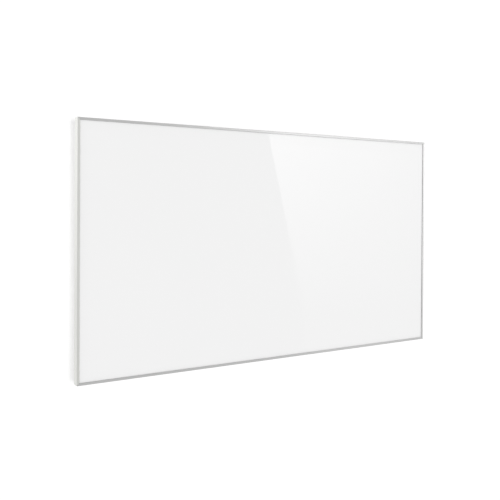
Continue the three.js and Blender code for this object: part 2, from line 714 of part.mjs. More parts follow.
// A hanger in the wall's own frame: X from its middle, Y = 0 at the wall, Z = 0 at the rail's middle.
function hanger() {
  const front = -WALL_GAP - PLATE_INSET + LAYER_GAP;
  const rear = front + HANGER_THICK;
  const low = RAIL_TOP_Z - HANGER_BELOW_RAIL_TOP;
  const top = PANEL_TOP_Z - HANGER_TOP_INSET;
  const seat = RAIL_TOP_Z + RUNNING_GAP;
  const legFront = -UPSTAND_OFFSET + HOOK_CLEARANCE;
  const strip = bentStrip(
    [[rear, low], [rear, seat], [legFront, seat], [legFront, RAIL_TOP_Z - HOOK_ENGAGEMENT]],
    HANGER_THICK,
    HOOK_BEND
  );
  const hook = alongX(strip, HOOK_WIDTH);
  const windowHalf = HOOK_WIDTH / 2 + HOOK_RELIEF;
  const windowLow = seat - HOOK_ROOT;
  let plate = slab(roundedRect(HANGER_WIDTH, top - low, HANGER_CORNER_RADIUS), front, HANGER_THICK);
  plate = plate.translate(0, 0, (top + low) / 2);
  plate = plate.subtract(block(-windowHalf, windowHalf, front - 1, rear + 1, windowLow, top + 1));
  for (const x of [-HANGER_SCREW_X, HANGER_SCREW_X]) {
    const radius = HANGER_SCREW.shank + HOLE_CLEARANCE;
    const z = PANEL_TOP_Z - SCREW_EDGE_DISTANCE;
    plate = plate.subtract(rodAt(x, z, radius, front - 1, rear + 1, FASTENER_SIDES));
  }
  return plate.add(hook);
}

function addHangers(parent) {
  const railMiddleZ = HALF_HEIGHT - PANEL_TOP_Z;
  const headSeat = REAR_SEAT + HANGER_THICK + LAYER_GAP;
  let screwNumber = 0;
  for (const [side, x] of [["left", -HANGER_X], ["right", HANGER_X]]) {
    addPart(parent, `hanger_${side}`, hanger(), ZINC, [x, WALL_PLANE, railMiddleZ]);
    for (const offset of [-HANGER_SCREW_X, HANGER_SCREW_X]) {
      screwNumber += 1;
      const place = [x + offset, headSeat, HALF_HEIGHT - SCREW_EDGE_DISTANCE];
      addPart(parent, `hanger_screw_${screwNumber}`, panScrew(HANGER_SCREW), ZINC, place);
    }
  }
}

// A rubber buffer on the Y axis, from its barbed stem in the plate to its flat end at the wall.
function wallBuffer() {
  const barb = PLATE_FRONT - LAYER_GAP;
  return turned([
    [0, barb - BUFFER_BARB_LENGTH],
    [BUFFER_BARB_TIP, barb - BUFFER_BARB_LENGTH],
    [BUFFER_BARB_RADIUS, barb - BUFFER_BARB_EDGE],
    [BUFFER_BARB_RADIUS, barb],
    [BUFFER_STEM_RADIUS, barb],
    [BUFFER_STEM_RADIUS, REAR_SEAT],
    [BUFFER_RADIUS - BUFFER_RIM, REAR_SEAT],
    [BUFFER_RADIUS, REAR_SEAT + BUFFER_RIM],
    [BUFFER_RADIUS, REAR_SEAT + BUFFER_COLLAR],
    [BUFFER_RADIUS - BUFFER_STEP, REAR_SEAT + BUFFER_COLLAR + BUFFER_STEP],
    [BUFFER_END_RADIUS + BUFFER_END_CHAMFER, WALL_PLANE - BUFFER_END_CHAMFER],
    [BUFFER_END_RADIUS, WALL_PLANE],
    [0, WALL_PLANE],
  ]);
}

// ------------------------------------------------------------------ junction box
// Its group's origin is the middle of the floor's outer face; Y = 0 lies against the back plate.

const ROOM_TOP = BOX_DEPTH - LID_RIM_HEIGHT;
const BOX_MID_DEPTH = (BOX_FLOOR + ROOM_TOP) / 2;
const FLOOR_SEAT = BOX_FLOOR + LAYER_GAP;
const BOX_BOTTOM = -BOX_HEIGHT / 2;

function postPlaces() {
  const x = BOX_WIDTH / 2 - POST_INSET;
  const z = BOX_HEIGHT / 2 - POST_INSET;
  return [[-x, z], [x, z], [-x, -z], [x, -z]];
}

function boxBase() {
  const inner = { width: BOX_WIDTH - 2 * BOX_WALL, height: BOX_HEIGHT - 2 * BOX_WALL };
  let base = slab(roundedRect(BOX_WIDTH, BOX_HEIGHT, BOX_CORNER_RADIUS), 0, BOX_DEPTH);
  const room = roundedRect(inner.width, inner.height, BOX_CORNER_RADIUS - BOX_WALL);
  base = base.subtract(slab(room, BOX_FLOOR, BOX_DEPTH));
  for (const [x, z] of postPlaces()) {
    base = base.add(rodAt(x, z, POST_RADIUS, BOX_FLOOR / 2, BOX_DEPTH - LID_RIM_HEIGHT - RUNNING_GAP));
    const pilot = LID_SCREW.shank + HOLE_CLEARANCE;
    base = base.subtract(rodAt(x, z, pilot, BOX_FLOOR + 1, BOX_DEPTH + 1, FASTENER_SIDES));
  }
  base = base.add(blockCradle());
  const floorHoles = [
    [GROMMET.x, GROMMET.z, GROMMET.hole],
    [EARTH.x, EARTH.z, EARTH_SCREW.shank + HOLE_CLEARANCE],
    [BOX_FIXING.x, BOX_FIXING.z, BOX_SCREW.shank + HOLE_CLEARANCE],
  ];
  for (const [x, z, radius] of floorHoles) {
    base = base.subtract(rodAt(x, z, radius, -1, BOX_FLOOR + 1, FASTENER_SIDES));
  }
  const glandHole = rod(CAP_BORE, -BOX_WALL, BOX_WALL).rotate([90, 0, 0]);
  base = base.subtract(glandHole.translate(GLAND_X, BOX_MID_DEPTH, BOX_BOTTOM));
  const cutoutX = SWITCH_BODY.length / 2 + HOLE_CLEARANCE;
  const cutoutY = SWITCH_BODY.depth / 2 + HOLE_CLEARANCE;
  return base.subtract(
    block(
      SWITCH_X - cutoutX,
      SWITCH_X + cutoutX,
      BOX_MID_DEPTH - cutoutY,
      BOX_MID_DEPTH + cutoutY,
      BOX_BOTTOM - 1,
      BOX_BOTTOM + BOX_WALL + 1
    )
  );
}

// Two low ribs on the floor that the terminal block sits between.
function blockCradle() {
  const halfLength = BLOCK.length / 2 + RUNNING_GAP;
  const low = BLOCK.z - BLOCK.height / 2;
  const high = BLOCK.z + BLOCK.height / 2;
  const { thick, height } = CRADLE_RIB;
  const rib = (x) => block(x, x + thick, BOX_FLOOR / 2, BOX_FLOOR + height, low, high);
  return rib(BLOCK.x - halfLength - thick).add(rib(BLOCK.x + halfLength));
}

function boxLid() {
  const y0 = BOX_DEPTH + LAYER_GAP;
  let lid = slab(roundedRect(BOX_WIDTH, BOX_HEIGHT, BOX_CORNER_RADIUS), y0, LID_THICK, LID_BEVEL);
  const rimWidth = BOX_WIDTH - 2 * (BOX_WALL + RUNNING_GAP);
  const rimHeight = BOX_HEIGHT - 2 * (BOX_WALL + RUNNING_GAP);
  const rimLow = BOX_DEPTH - LID_RIM_HEIGHT;
  const rimOutline = roundedRect(rimWidth, rimHeight, BOX_CORNER_RADIUS - BOX_WALL);
  const rim = slab(rimOutline, rimLow, LID_RIM_HEIGHT + 1);
  const hollow = roundedRect(rimWidth - 2 * LID_RIM_WIDTH, rimHeight - 2 * LID_RIM_WIDTH, LID_RIM_RADIUS);
  lid = lid.add(rim.subtract(slab(hollow, rimLow - 1, LID_RIM_HEIGHT + 1 + LAYER_GAP)));
  for (const [x, z] of postPlaces()) {
    const radius = LID_SCREW.shank + HOLE_CLEARANCE;
    lid = lid.subtract(rodAt(x, z, radius, rimLow - 1, y0 + LID_THICK + 1, FASTENER_SIDES));
  }
  return lid;
}

function clampPlaces() {
  return [-1, 0, 1].map((step) => BLOCK.x + step * CLAMP_PITCH);
}

const CLAMP_Y = FLOOR_SEAT + BLOCK.depth / 2;

function terminalBlock() {
  const low = BLOCK.z - BLOCK.height / 2;
  const high = BLOCK.z + BLOCK.height / 2;
  const half = CLAMP_SIDE / 2 + RUNNING_GAP;
  let body = block(
    BLOCK.x - BLOCK.length / 2,
    BLOCK.x + BLOCK.length / 2,
    FLOOR_SEAT,
    FLOOR_SEAT + BLOCK.depth,
    low,
    high
  );
  for (const x of clampPlaces()) {
    body = body.subtract(block(x - half, x + half, CLAMP_Y - half, CLAMP_Y + half, low - 1, high + 1));
    for (const z of [BLOCK.z - CLAMP_SIDE, BLOCK.z + CLAMP_SIDE]) {
      const top = FLOOR_SEAT + BLOCK.depth + 1;
      body = body.subtract(rodAt(x, z, CLAMP_ACCESS_RADIUS, CLAMP_Y, top, FASTENER_SIDES));
    }
  }
  return body;
}

function terminalClamp() {
  const half = CLAMP_SIDE / 2;
  const end = CLAMP_LENGTH / 2;
  const bore = rod(CLAMP_BORE, -end - 1, end + 1, FASTENER_SIDES).rotate([90, 0, 0]);
  return block(-half, half, -half, half, -end, end).subtract(bore);
}

// The grommet clasps the box's floor and the back plate, on its own Y axis.
function wireGrommet() {
  const grooveLow = PLATE_FRONT - REAR_SEAT - LAYER_GAP;
  const grooveHigh = BOX_FLOOR + LAYER_GAP;
  const neck = GROMMET.hole - RUNNING_GAP;
  return turnedRing([
    [GROMMET.bore, grooveLow - GROMMET.lip],
    [GROMMET.flange, grooveLow - GROMMET.lip],
    [GROMMET.flange, grooveLow],
    [neck, grooveLow],
    [neck, grooveHigh],
    [GROMMET.flange, grooveHigh],
    [GROMMET.flange, grooveHigh + GROMMET.lip],
    [GROMMET.bore, grooveHigh + GROMMET.lip],
  ]);
}

// ------------------------------------------------------------------ cable gland
// On its own Y axis: Y = 0 is the outer face of the box's bottom wall and +Y goes into the box.

const GLAND_FLATS = ROOM_TOP - BOX_FLOOR - 2 * GLAND_ROOM_GAP;
const THREAD_RADIUS = GLAND_FLATS / 2 - GLAND_NUT_WALL;
const CAP_BORE = THREAD_RADIUS + RUNNING_GAP;
const SEAT_RADIUS = THREAD_RADIUS - GLAND_SEAT_WALL;
const SEAL_RADIUS = SEAT_RADIUS - RUNNING_GAP;
const SEAL_BORE = SEAL_RADIUS - SEAL_WALL;
const MOUTH_RADIUS = SEAL_BORE + CAP_MOUTH_GAP;
const FLANGE_TOP = -RUNNING_GAP;
const STUB_TOP = FLANGE_TOP - GLAND_FLANGE;
const STUB_END = STUB_TOP - GLAND_STUB;
const SEAT_TOP = STUB_END + SEAL_SEAT_DEPTH;
const SEAL_END = STUB_END - RUNNING_GAP - SEAL_HEAD_LENGTH;
const CAP_CEILING = SEAL_END - RUNNING_GAP;
const CAP_END = CAP_CEILING - CAP_FLOOR;

function glandBody() {
  const tubeBore = THREAD_RADIUS - GLAND_TUBE_WALL;
  const core = turned([
    [0, STUB_END],
    [THREAD_RADIUS, STUB_END],
    [THREAD_RADIUS, GLAND_SPIGOT],
    [0, GLAND_SPIGOT],
  ]);
  const bore = turned([
    [0, STUB_END - 1],
    [SEAT_RADIUS, STUB_END - 1],
    [SEAT_RADIUS, SEAT_TOP],
    [tubeBore, SEAT_TOP],
    [tubeBore, GLAND_SPIGOT + 1],
    [0, GLAND_SPIGOT + 1],
  ]);
  return core.add(slab(hexagon(GLAND_FLATS), STUB_TOP, GLAND_FLANGE)).subtract(bore);
}

function glandLocknut() {
  const seat = BOX_WALL + RUNNING_GAP;
  const bore = rod(CAP_BORE, seat - 1, seat + LOCKNUT_HEIGHT + 1);
  return slab(hexagon(GLAND_FLATS), seat, LOCKNUT_HEIGHT).subtract(bore);
}

function glandSeal() {
  const head = THREAD_RADIUS - RUNNING_GAP;
  return turnedRing([
    [SEAL_BORE, SEAL_END],
    [head, SEAL_END],
    [head, STUB_END - RUNNING_GAP],
    [SEAL_RADIUS, STUB_END - RUNNING_GAP],
    [SEAL_RADIUS, SEAT_TOP - RUNNING_GAP],
    [SEAL_BORE, SEAT_TOP - RUNNING_GAP],
  ]);
}

function glandCap() {
  const top = STUB_TOP - RUNNING_GAP;
  const domeTop = CAP_END + CAP_DOME;
  const nose = MOUTH_RADIUS + CAP_MOUTH_WALL;
  const shoulder = (nose + GLAND_FLATS / 2) / 2 + CAP_SHOULDER.radiusGain;
  const dome = turned([
    [0, CAP_END],
    [nose, CAP_END],
    [shoulder, CAP_END + CAP_DOME * CAP_SHOULDER.heightShare],
    [GLAND_FLATS / 2, domeTop],
    [0, domeTop],
  ]);
  const hollow = turned([
    [0, CAP_END - 1],
    [MOUTH_RADIUS, CAP_END - 1],
    [MOUTH_RADIUS, CAP_CEILING],
    [CAP_BORE, CAP_CEILING],
    [CAP_BORE, top + 1],
    [0, top + 1],
  ]);
  return slab(hexagon(GLAND_FLATS), domeTop, top - domeTop).add(dome).subtract(hollow);
}

function addGland(parent) {
  const gland = addGroup(parent, [GLAND_X, BOX_MID_DEPTH, BOX_BOTTOM]);
  gland.rotation.x = Math.PI / 2;
  addPart(gland, "gland_body", glandBody(), GREY_PLASTIC);
  addPart(gland, "gland_locknut", glandLocknut(), GREY_PLASTIC);
  addPart(gland, "gland_seal", glandSeal(), RUBBER);
  addPart(gland, "gland_cap", glandCap(), GREY_PLASTIC);
}

// ------------------------------------------------------------------ rocker switch
// Its group's origin is on the outer face of the box's bottom wall, with +Z going into the box.

function switchHousing() {
  const bezelLow = -LAYER_GAP - BEZEL.height;
  const bezel = solid(
    new THREE.ExtrudeGeometry(roundedRect(BEZEL.length, BEZEL.depth, BEZEL.radius), {
      depth: BEZEL.height,
      curveSegments: ARC_STEPS,
      bevelEnabled: false,
    })
  ).translate(0, 0, bezelLow);
  const halfX = SWITCH_BODY.length / 2;
  const halfY = SWITCH_BODY.depth / 2;
  const roomX = halfX - SWITCH_WALL;
  const roomY = halfY - SWITCH_SIDE_WALL;
  const body = block(-halfX, halfX, -halfY, halfY, -LAYER_GAP, SWITCH_BODY.height);
  const room = block(-roomX, roomX, -roomY, roomY, bezelLow - 1, SWITCH_CAVITY);
  const pivotRadius = TRUNNION_RADIUS + RUNNING_GAP;
  const pivotHole = rodAt(0, PIVOT_HEIGHT, pivotRadius, -halfY - 1, halfY + 1, FASTENER_SIDES);
  let housing = bezel.add(body).subtract(room).subtract(pivotHole);
  for (const x of [-BLADE.x, BLADE.x]) {
    const low = SWITCH_BODY.height - 1;
    const high = SWITCH_BODY.height + BLADE.length;
    housing = housing.add(
      block(x - BLADE.width / 2, x + BLADE.width / 2, -BLADE.thick / 2, BLADE.thick / 2, low, high)
    );
  }
  return housing;
}

// The rocker about its pivot: its two faces slope up from the middle to both ends.
function switchRocker() {
  const ridge = PIVOT_HEIGHT + LAYER_GAP + BEZEL.height + ROCKER_PROUD;
  const tip = ridge + ROCKER_HALF_LENGTH * Math.tan(ROCKER_TILT);
  const section = polygon([
    [0, -ridge],
    [ROCKER_HALF_LENGTH, -tip],
    [ROCKER_HALF_LENGTH, -ROCKER_SHOULDER],
    [ROCKER_FOOT.halfLength, ROCKER_FOOT.depth],
    [-ROCKER_FOOT.halfLength, ROCKER_FOOT.depth],
    [-ROCKER_HALF_LENGTH, -ROCKER_SHOULDER],
    [-ROCKER_HALF_LENGTH, -tip],
  ]);
  const half = SWITCH_BODY.depth / 2 - SWITCH_SIDE_WALL - RUNNING_GAP;
  const reach = half + TRUNNION_LENGTH;
  return slab(section, -half, 2 * half).add(rod(TRUNNION_RADIUS, -reach, reach, FASTENER_SIDES));
}

function addSwitch(parent) {
  const group = addGroup(parent, [SWITCH_X, BOX_MID_DEPTH, BOX_BOTTOM]);
  addPart(group, "switch_housing", switchHousing(), BLACK_PLASTIC);
  const rocker = addPart(group, "switch_rocker", switchRocker(), BLACK_PLASTIC, [0, 0, PIVOT_HEIGHT]);
  rocker.rotation.y = -ROCKER_TILT;
}

// ------------------------------------------------------------------ leads

// A path whose stations are the tube's rings: they lie close in the bends and far apart between.
class LeadPath extends THREE.Curve {
  constructor(stations) {
    super();
    this.stations = stations;
  }

  getPoint(t, target = new THREE.Vector3()) {
    const place = THREE.MathUtils.clamp(t, 0, 1) * (this.stations.length - 1);
    const index = Math.min(Math.floor(place), this.stations.length - 2);
    return target.lerpVectors(this.stations[index], this.stations[index + 1], place - index);
  }

  getUtoTmapping(u) {
    return u;
  }
}

// Shares of a straight leg that the bend at its end may take.
const END_LEG_SHARE = 0.95;
const MIDDLE_LEG_SHARE = 0.48;

function roundedRoute(points) {
  const route = points.map((point) => new THREE.Vector3(...point));
  const last = route.length - 1;
  const stations = [route[0]];
  for (let i = 1; i < last; i += 1) {
    const back = route[i - 1].clone().sub(route[i]);
    const ahead = route[i + 1].clone().sub(route[i]);
    const room = (leg, isEnd) => leg.length() * (isEnd ? END_LEG_SHARE : MIDDLE_LEG_SHARE);
    const reach = Math.min(LEAD_BEND, room(back, i === 1), room(ahead, i === last - 1));
    const curve = new THREE.QuadraticBezierCurve3(
      route[i].clone().addScaledVector(back.normalize(), reach),
      route[i],
      route[i].clone().addScaledVector(ahead.normalize(), reach)
    );
    stations.push(...curve.getPoints(LEAD_BEND_STEPS));
  }
  stations.push(route[last]);
  return stations;
}

function lead(points) {
  const stations = roundedRoute(points);
  const section = polygon(
    Array.from({ length: LEAD_SIDES }, (_, i) => {
      const angle = (i * 2 * Math.PI) / LEAD_SIDES;
      return [LEAD_RADIUS * Math.cos(angle), LEAD_RADIUS * Math.sin(angle)];
    })
  );
  return solid(
    new THREE.ExtrudeGeometry(section, { steps: stations.length - 1, extrudePath: new LeadPath(stations) })
  );
}

function addLeads(parent) {
  const channelY = BOARD_FRONT + CHANNEL_DEPTH / 2 - REAR_SEAT;
  const contactY = FOIL_BACK + RUNNING_GAP - REAR_SEAT;
  const nearLid = ROOM_TOP - LEAD_RADIUS;
  const underLiveFeed = nearLid - 2 * LEAD_RADIUS - LEAD_CROSSING_GAP;
  const earthY = FLOOR_SEAT + EARTH_SCREW.height / 2;

  const inClamp = BLOCK.z + CLAMP_LENGTH / 2 - LEAD_IN_CLAMP;
  const aboveBlock = BLOCK.z + BLOCK.height / 2 + LEAD_RISE;
  const crossing = aboveBlock + LEAD_SPREAD;
  const bladeEnd = BOX_BOTTOM + SWITCH_BODY.height + BLADE.length + RUNNING_GAP;
  const channelZ = GROMMET.z;

  const [liveX, neutralX, earthX] = clampPlaces();
  const liveDownX = EARTH.x + EARTH_SCREW.head + 2 * LEAD_RADIUS;
  const liveGrommetX = GROMMET.x - LEAD_PAIR_OFFSET;
  const neutralGrommetX = GROMMET.x + LEAD_PAIR_OFFSET;
  const [firstCutoutX, secondCutoutX] = CUTOUT_OFFSETS.map((offset) => GROMMET.x - offset);
  const cutoutEnd = CUTOUT.length / 2 + RUNNING_GAP;
  const leftBusbarX = -BUSBAR_X - BOX_X;
  const rightBusbarX = BUSBAR_X - BOX_X;

  const liveFeed = [
    [liveX, CLAMP_Y, inClamp],
    [liveX, CLAMP_Y, aboveBlock],
    [liveX, nearLid, crossing],
    [liveDownX, nearLid, crossing],
    [liveDownX, nearLid, EARTH.z],
    [SWITCH_X - BLADE.x, BOX_MID_DEPTH, bladeEnd + LEAD_AT_SWITCH],
    [SWITCH_X - BLADE.x, BOX_MID_DEPTH, bladeEnd],
  ];
  const switchLink = [
    [SWITCH_X + BLADE.x, BOX_MID_DEPTH, bladeEnd],
    [SWITCH_X + BLADE.x, BOX_MID_DEPTH, bladeEnd + LEAD_AT_SWITCH],
    [liveGrommetX, BOX_MID_DEPTH, channelZ - GROMMET.flange],
    [liveGrommetX, BOX_MID_DEPTH, channelZ],
    [liveGrommetX, channelY, channelZ],
    [firstCutoutX + cutoutEnd, channelY, channelZ],
  ];
  const cutoutLink = [
    [firstCutoutX - cutoutEnd, channelY, channelZ],
    [(firstCutoutX + secondCutoutX) / 2, channelY, channelZ + 1],
    [secondCutoutX + cutoutEnd, channelY, channelZ],
  ];
  const liveBusbar = [
    [secondCutoutX - cutoutEnd, channelY, channelZ],
    [leftBusbarX, channelY, channelZ],
    [leftBusbarX, contactY, channelZ],
  ];
  const neutral = [
    [neutralX, CLAMP_Y, inClamp],
    [neutralX, CLAMP_Y, aboveBlock],
    [neutralX, underLiveFeed, crossing],
    [neutralGrommetX, underLiveFeed, crossing],
    [neutralGrommetX, underLiveFeed, channelZ],
    [neutralGrommetX, channelY, channelZ],
    [rightBusbarX, channelY, channelZ],
    [rightBusbarX, contactY, channelZ],
  ];
  const earth = [
    [earthX, CLAMP_Y, inClamp],
    [earthX, CLAMP_Y, aboveBlock],
    [EARTH.x, CLAMP_Y, aboveBlock],
    [EARTH.x, earthY, (aboveBlock + EARTH.z + EARTH_SCREW.head) / 2],
    [EARTH.x, earthY, EARTH.z + EARTH_SCREW.head + RUNNING_GAP],
  ];
  addPart(parent, "lead_live_feed", lead(liveFeed), BROWN_LEAD);
  addPart(parent, "lead_switch_link", lead(switchLink), BROWN_LEAD);
  addPart(parent, "lead_cutout_link", lead(cutoutLink), BROWN_LEAD);
  addPart(parent, "lead_live_busbar", lead(liveBusbar), BROWN_LEAD);
  addPart(parent, "lead_neutral", lead(neutral), BLUE_LEAD);
  addPart(parent, "lead_earth", lead(earth), EARTH_LEAD);
  for (const [i, x] of [firstCutoutX, secondCutoutX].entries()) {
    addPart(parent, `thermal_cutout_${i + 1}`, thermalCutout(), BLACK_PLASTIC, [x, channelY, channelZ]);
  }
}

function thermalCutout() {
  const halfThick = CUTOUT.thick / 2;
  const outline = roundedRect(CUTOUT.length, CUTOUT.width, CUTOUT.radius);
  return slab(outline, -halfThick, CUTOUT.thick, CUTOUT.chamfer);
}

function addJunctionBox(parent) {
  const box = addGroup(parent, [BOX_X, REAR_SEAT, BOX_Z]);
  addPart(box, "junction_box_base", boxBase(), GREY_PLASTIC);
  addPart(box, "junction_box_lid", boxLid(), GREY_PLASTIC);
  const lidSeat = BOX_DEPTH + 2 * LAYER_GAP + LID_THICK;
  postPlaces().forEach(([x, z], i) => {
    addPart(box, `lid_screw_${i + 1}`, panScrew(LID_SCREW), ZINC, [x, lidSeat, z]);
  });
  addPart(box, "box_screw", panScrew(BOX_SCREW), ZINC, [BOX_FIXING.x, FLOOR_SEAT, BOX_FIXING.z]);
  addPart(box, "earth_screw", panScrew(EARTH_SCREW), BRASS, [EARTH.x, FLOOR_SEAT, EARTH.z]);
  addPart(box, "wire_grommet", wireGrommet(), RUBBER, [GROMMET.x, 0, GROMMET.z]);
  addPart(box, "terminal_block", terminalBlock(), CREAM_PLASTIC);
  clampPlaces().forEach((x, i) => {
    addPart(box, `terminal_clamp_${i + 1}`, terminalClamp(), BRASS, [x, CLAMP_Y, BLOCK.z]);
  });
  addLeads(box);
  addGland(box);
  addSwitch(box);
}

// ------------------------------------------------------------------ assembly

function infraredPanelHeater() {
  const object = new THREE.Group();
  addPart(object, "wall_rail", wallRail(), ZINC);
  const heater = addGroup(object, [0, -WALL_PLANE, PANEL_TOP_Z - HALF_HEIGHT]);
  addPart(heater, "front_glass", glass(), WHITE_GLASS);
  addPart(heater, "glass_gasket", gasket(), RUBBER);
  addFrame(heater);
  addPart(heater, "heating_element", heatingElement(), MICA);
  addPart(heater, "busbar_left", busbar(), COPPER, [-BUSBAR_X, 0, 0]);
  addPart(heater, "busbar_right", busbar(), COPPER, [BUSBAR_X, 0, 0]);
  addPart(heater, "reflector_foil", reflectorFoil(), FOIL);
  addPart(heater, "insulation_board", insulationBoard(), MINERAL);
  addBackPlate(heater);
  addHangers(heater);
  addPart(heater, "wall_buffer_left", wallBuffer(), RUBBER, [-BUFFER_X, 0, BUFFER_Z]);
  addPart(heater, "wall_buffer_right", wallBuffer(), RUBBER, [BUFFER_X, 0, BUFFER_Z]);
  addJunctionBox(heater);
  return object;
}

export default infraredPanelHeater();
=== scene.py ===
"""Looks of a wall-hung infrared panel heater: a white glass front in an aluminium frame, a coated
steel back with a wiring box, and the rail that it hooks onto. Sizes are millimetres unless said."""

import math

import bmesh
import bpy
from mathutils import Euler, Matrix, Vector


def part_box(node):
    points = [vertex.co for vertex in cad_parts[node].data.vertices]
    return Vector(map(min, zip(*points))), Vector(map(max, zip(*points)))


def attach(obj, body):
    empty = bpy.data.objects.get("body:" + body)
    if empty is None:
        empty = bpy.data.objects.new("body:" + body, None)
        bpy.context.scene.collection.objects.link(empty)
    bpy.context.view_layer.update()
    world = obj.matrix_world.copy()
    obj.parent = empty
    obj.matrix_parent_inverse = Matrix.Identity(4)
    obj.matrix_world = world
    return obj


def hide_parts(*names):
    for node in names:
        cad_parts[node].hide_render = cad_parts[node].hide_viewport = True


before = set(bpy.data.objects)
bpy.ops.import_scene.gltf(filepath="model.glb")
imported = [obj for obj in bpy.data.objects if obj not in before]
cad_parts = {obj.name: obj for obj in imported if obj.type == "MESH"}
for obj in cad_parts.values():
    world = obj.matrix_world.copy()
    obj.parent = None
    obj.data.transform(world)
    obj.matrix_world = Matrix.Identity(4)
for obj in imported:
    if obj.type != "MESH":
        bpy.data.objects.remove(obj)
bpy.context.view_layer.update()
bpy.context.scene.view_settings.view_transform = "Standard"

MM = 0.001

# ---------------------------------------------------------------- camera
# Solved from the panel's four corners in the photograph. Its places are in metres.

PHOTO_SIDE = 500
FOCAL_PIXELS = 689.1
AXIS_ROW = 211.87
SENSOR_WIDTH = 36
CAMERA_PLACE = Vector((-0.85762, -1.29104, -0.11654))
CAMERA_TURN = Euler([math.radians(angle) for angle in (89.3937, -0.3519, -32.1309)])


def add_camera():
    data = bpy.data.cameras.new("camera")
    data.sensor_width = SENSOR_WIDTH
    data.lens = FOCAL_PIXELS / PHOTO_SIDE * SENSOR_WIDTH
    data.shift_y = (AXIS_ROW - PHOTO_SIDE / 2) / PHOTO_SIDE
    camera = bpy.data.objects.new("camera", data)
    camera.location = CAMERA_PLACE
    camera.rotation_euler = CAMERA_TURN
    bpy.context.scene.collection.objects.link(camera)
    bpy.context.scene.camera = camera


add_camera()

# ---------------------------------------------------------------- node helpers


def add_node(tree, kind, settings=None, **inputs):
    """A shader node with its settings made and its inputs either linked or given a value."""
    node = tree.nodes.new("ShaderNode" + kind)
    for name, value in (settings or {}).items():
        setattr(node, name, value)
    for name, value in inputs.items():
        socket = node.inputs[int(name[1:])] if name[1:].isdigit() else node.inputs[name.replace("_", " ")]
        if isinstance(value, bpy.types.NodeSocket):
            tree.links.new(value, socket)
        else:
            socket.default_value = value
    return node


def math_node(tree, operation, first, second):
    return add_node(tree, "Math", {"operation": operation}, _0=first, _1=second).outputs[0]


def remapped(tree, value, low, high, start=0.0, end=1.0):
    """Runs from low to high as the value runs from start to end."""
    node = add_node(tree, "MapRange", Value=value)
    for name, number in (("From Min", start), ("From Max", end), ("To Min", low), ("To Max", high)):
        node.inputs[name].default_value = number
    return node.outputs["Result"]


def bare_material(name):
    material = bpy.data.materials.new(name)
    material.use_nodes = True
    material.node_tree.nodes.clear()
    return material, material.node_tree


# ---------------------------------------------------------------- light and stage, in metres

WORLD_LEVEL = 0.62
# Each sun: the way to it, its strength and its width in degrees
SUNS = {
    "key": ((0, -1, 0), 1.19, 28),
    "side_fill": ((-1, -0.1, 0.25), 0.45, 40),
    "rear": ((-0.45, 1, 0.5), 1.15, 30),
    "rear_fill": ((0.9, 0.5, 0.2), 0.45, 40),
}
WHITE = (1, 1, 1, 1)
STAGE_HALF = 3
WALL_Y = 0.001
WALL_SHADE = 0.75
WALL_GLOW = 0.3
FLOOR_Z = -1.05
FLOOR_SHADE = 0.55
FLOOR_GLOW = 0.52
RAY_KINDS = ("camera", "diffuse", "glossy", "transmission", "volume_scatter", "shadow")


def add_world():
    world = bpy.data.worlds.new("world")
    bpy.context.scene.world = world
    world.use_nodes = True
    tree = world.node_tree
    path = add_node(tree, "LightPath")
    seen = math_node(tree, "MAXIMUM", path.outputs["Is Camera Ray"], path.outputs["Is Glossy Ray"])
    seen = math_node(tree, "MAXIMUM", seen, path.outputs["Is Transmission Ray"])
    background = tree.nodes["Background"]
    background.inputs["Color"].default_value = WHITE
    tree.links.new(remapped(tree, seen, WORLD_LEVEL, 1), background.inputs["Strength"])


def add_suns():
    for name, (towards, strength, width) in SUNS.items():
        data = bpy.data.lights.new(name, "SUN")
        data.energy = strength
        data.angle = math.radians(width)
        sun = bpy.data.objects.new(name, data)
        sun.rotation_euler = Vector(towards).to_track_quat("Z", "Y").to_euler()
        sun.visible_glossy = False
        bpy.context.scene.collection.objects.link(sun)


def backdrop_material(name, shade, glow):
    """White to the camera but for the object's shadow, and clear from behind."""
    material, tree = bare_material(name)
    path = add_node(tree, "LightPath")
    level = math_node(tree, "MULTIPLY", path.outputs["Is Camera Ray"], glow)
    emission = add_node(tree, "Emission", Strength=level)
    diffuse = add_node(tree, "BsdfDiffuse", Color=(shade, shade, shade, 1))
    front = add_node(tree, "AddShader", _0=diffuse.outputs[0], _1=emission.outputs[0])
    from_behind = add_node(tree, "NewGeometry").outputs["Backfacing"]
    clear = add_node(tree, "BsdfTransparent").outputs[0]
    mixed = add_node(tree, "MixShader", _0=from_behind, _1=front.outputs[0], _2=clear)
    add_node(tree, "OutputMaterial", Surface=mixed.outputs[0])
    return material


def add_sheet(name, corners, material, seen_by):
    """A flat stage piece that only one kind of ray meets."""
    mesh = bpy.data.meshes.new(name)
    mesh.from_pydata([tuple(corner) for corner in corners], [], [tuple(range(len(corners)))])
    mesh.materials.append(material)
    sheet = bpy.data.objects.new(name, mesh)
    for ray in RAY_KINDS:
        setattr(sheet, "visible_" + ray, ray == seen_by)
    bpy.context.scene.collection.objects.link(sheet)


def add_backdrops():
    h = STAGE_HALF
    wall = [(-h, WALL_Y, -h), (h, WALL_Y, -h), (h, WALL_Y, h), (-h, WALL_Y, h)]
    floor = [(-h, -h, FLOOR_Z), (h, -h, FLOOR_Z), (h, h, FLOOR_Z), (-h, h, FLOOR_Z)]
    add_sheet("wall", wall, backdrop_material("wall_paint", WALL_SHADE, WALL_GLOW), "camera")
    add_sheet("floor", floor, backdrop_material("floor_paint", FLOOR_SHADE, FLOOR_GLOW), "camera")


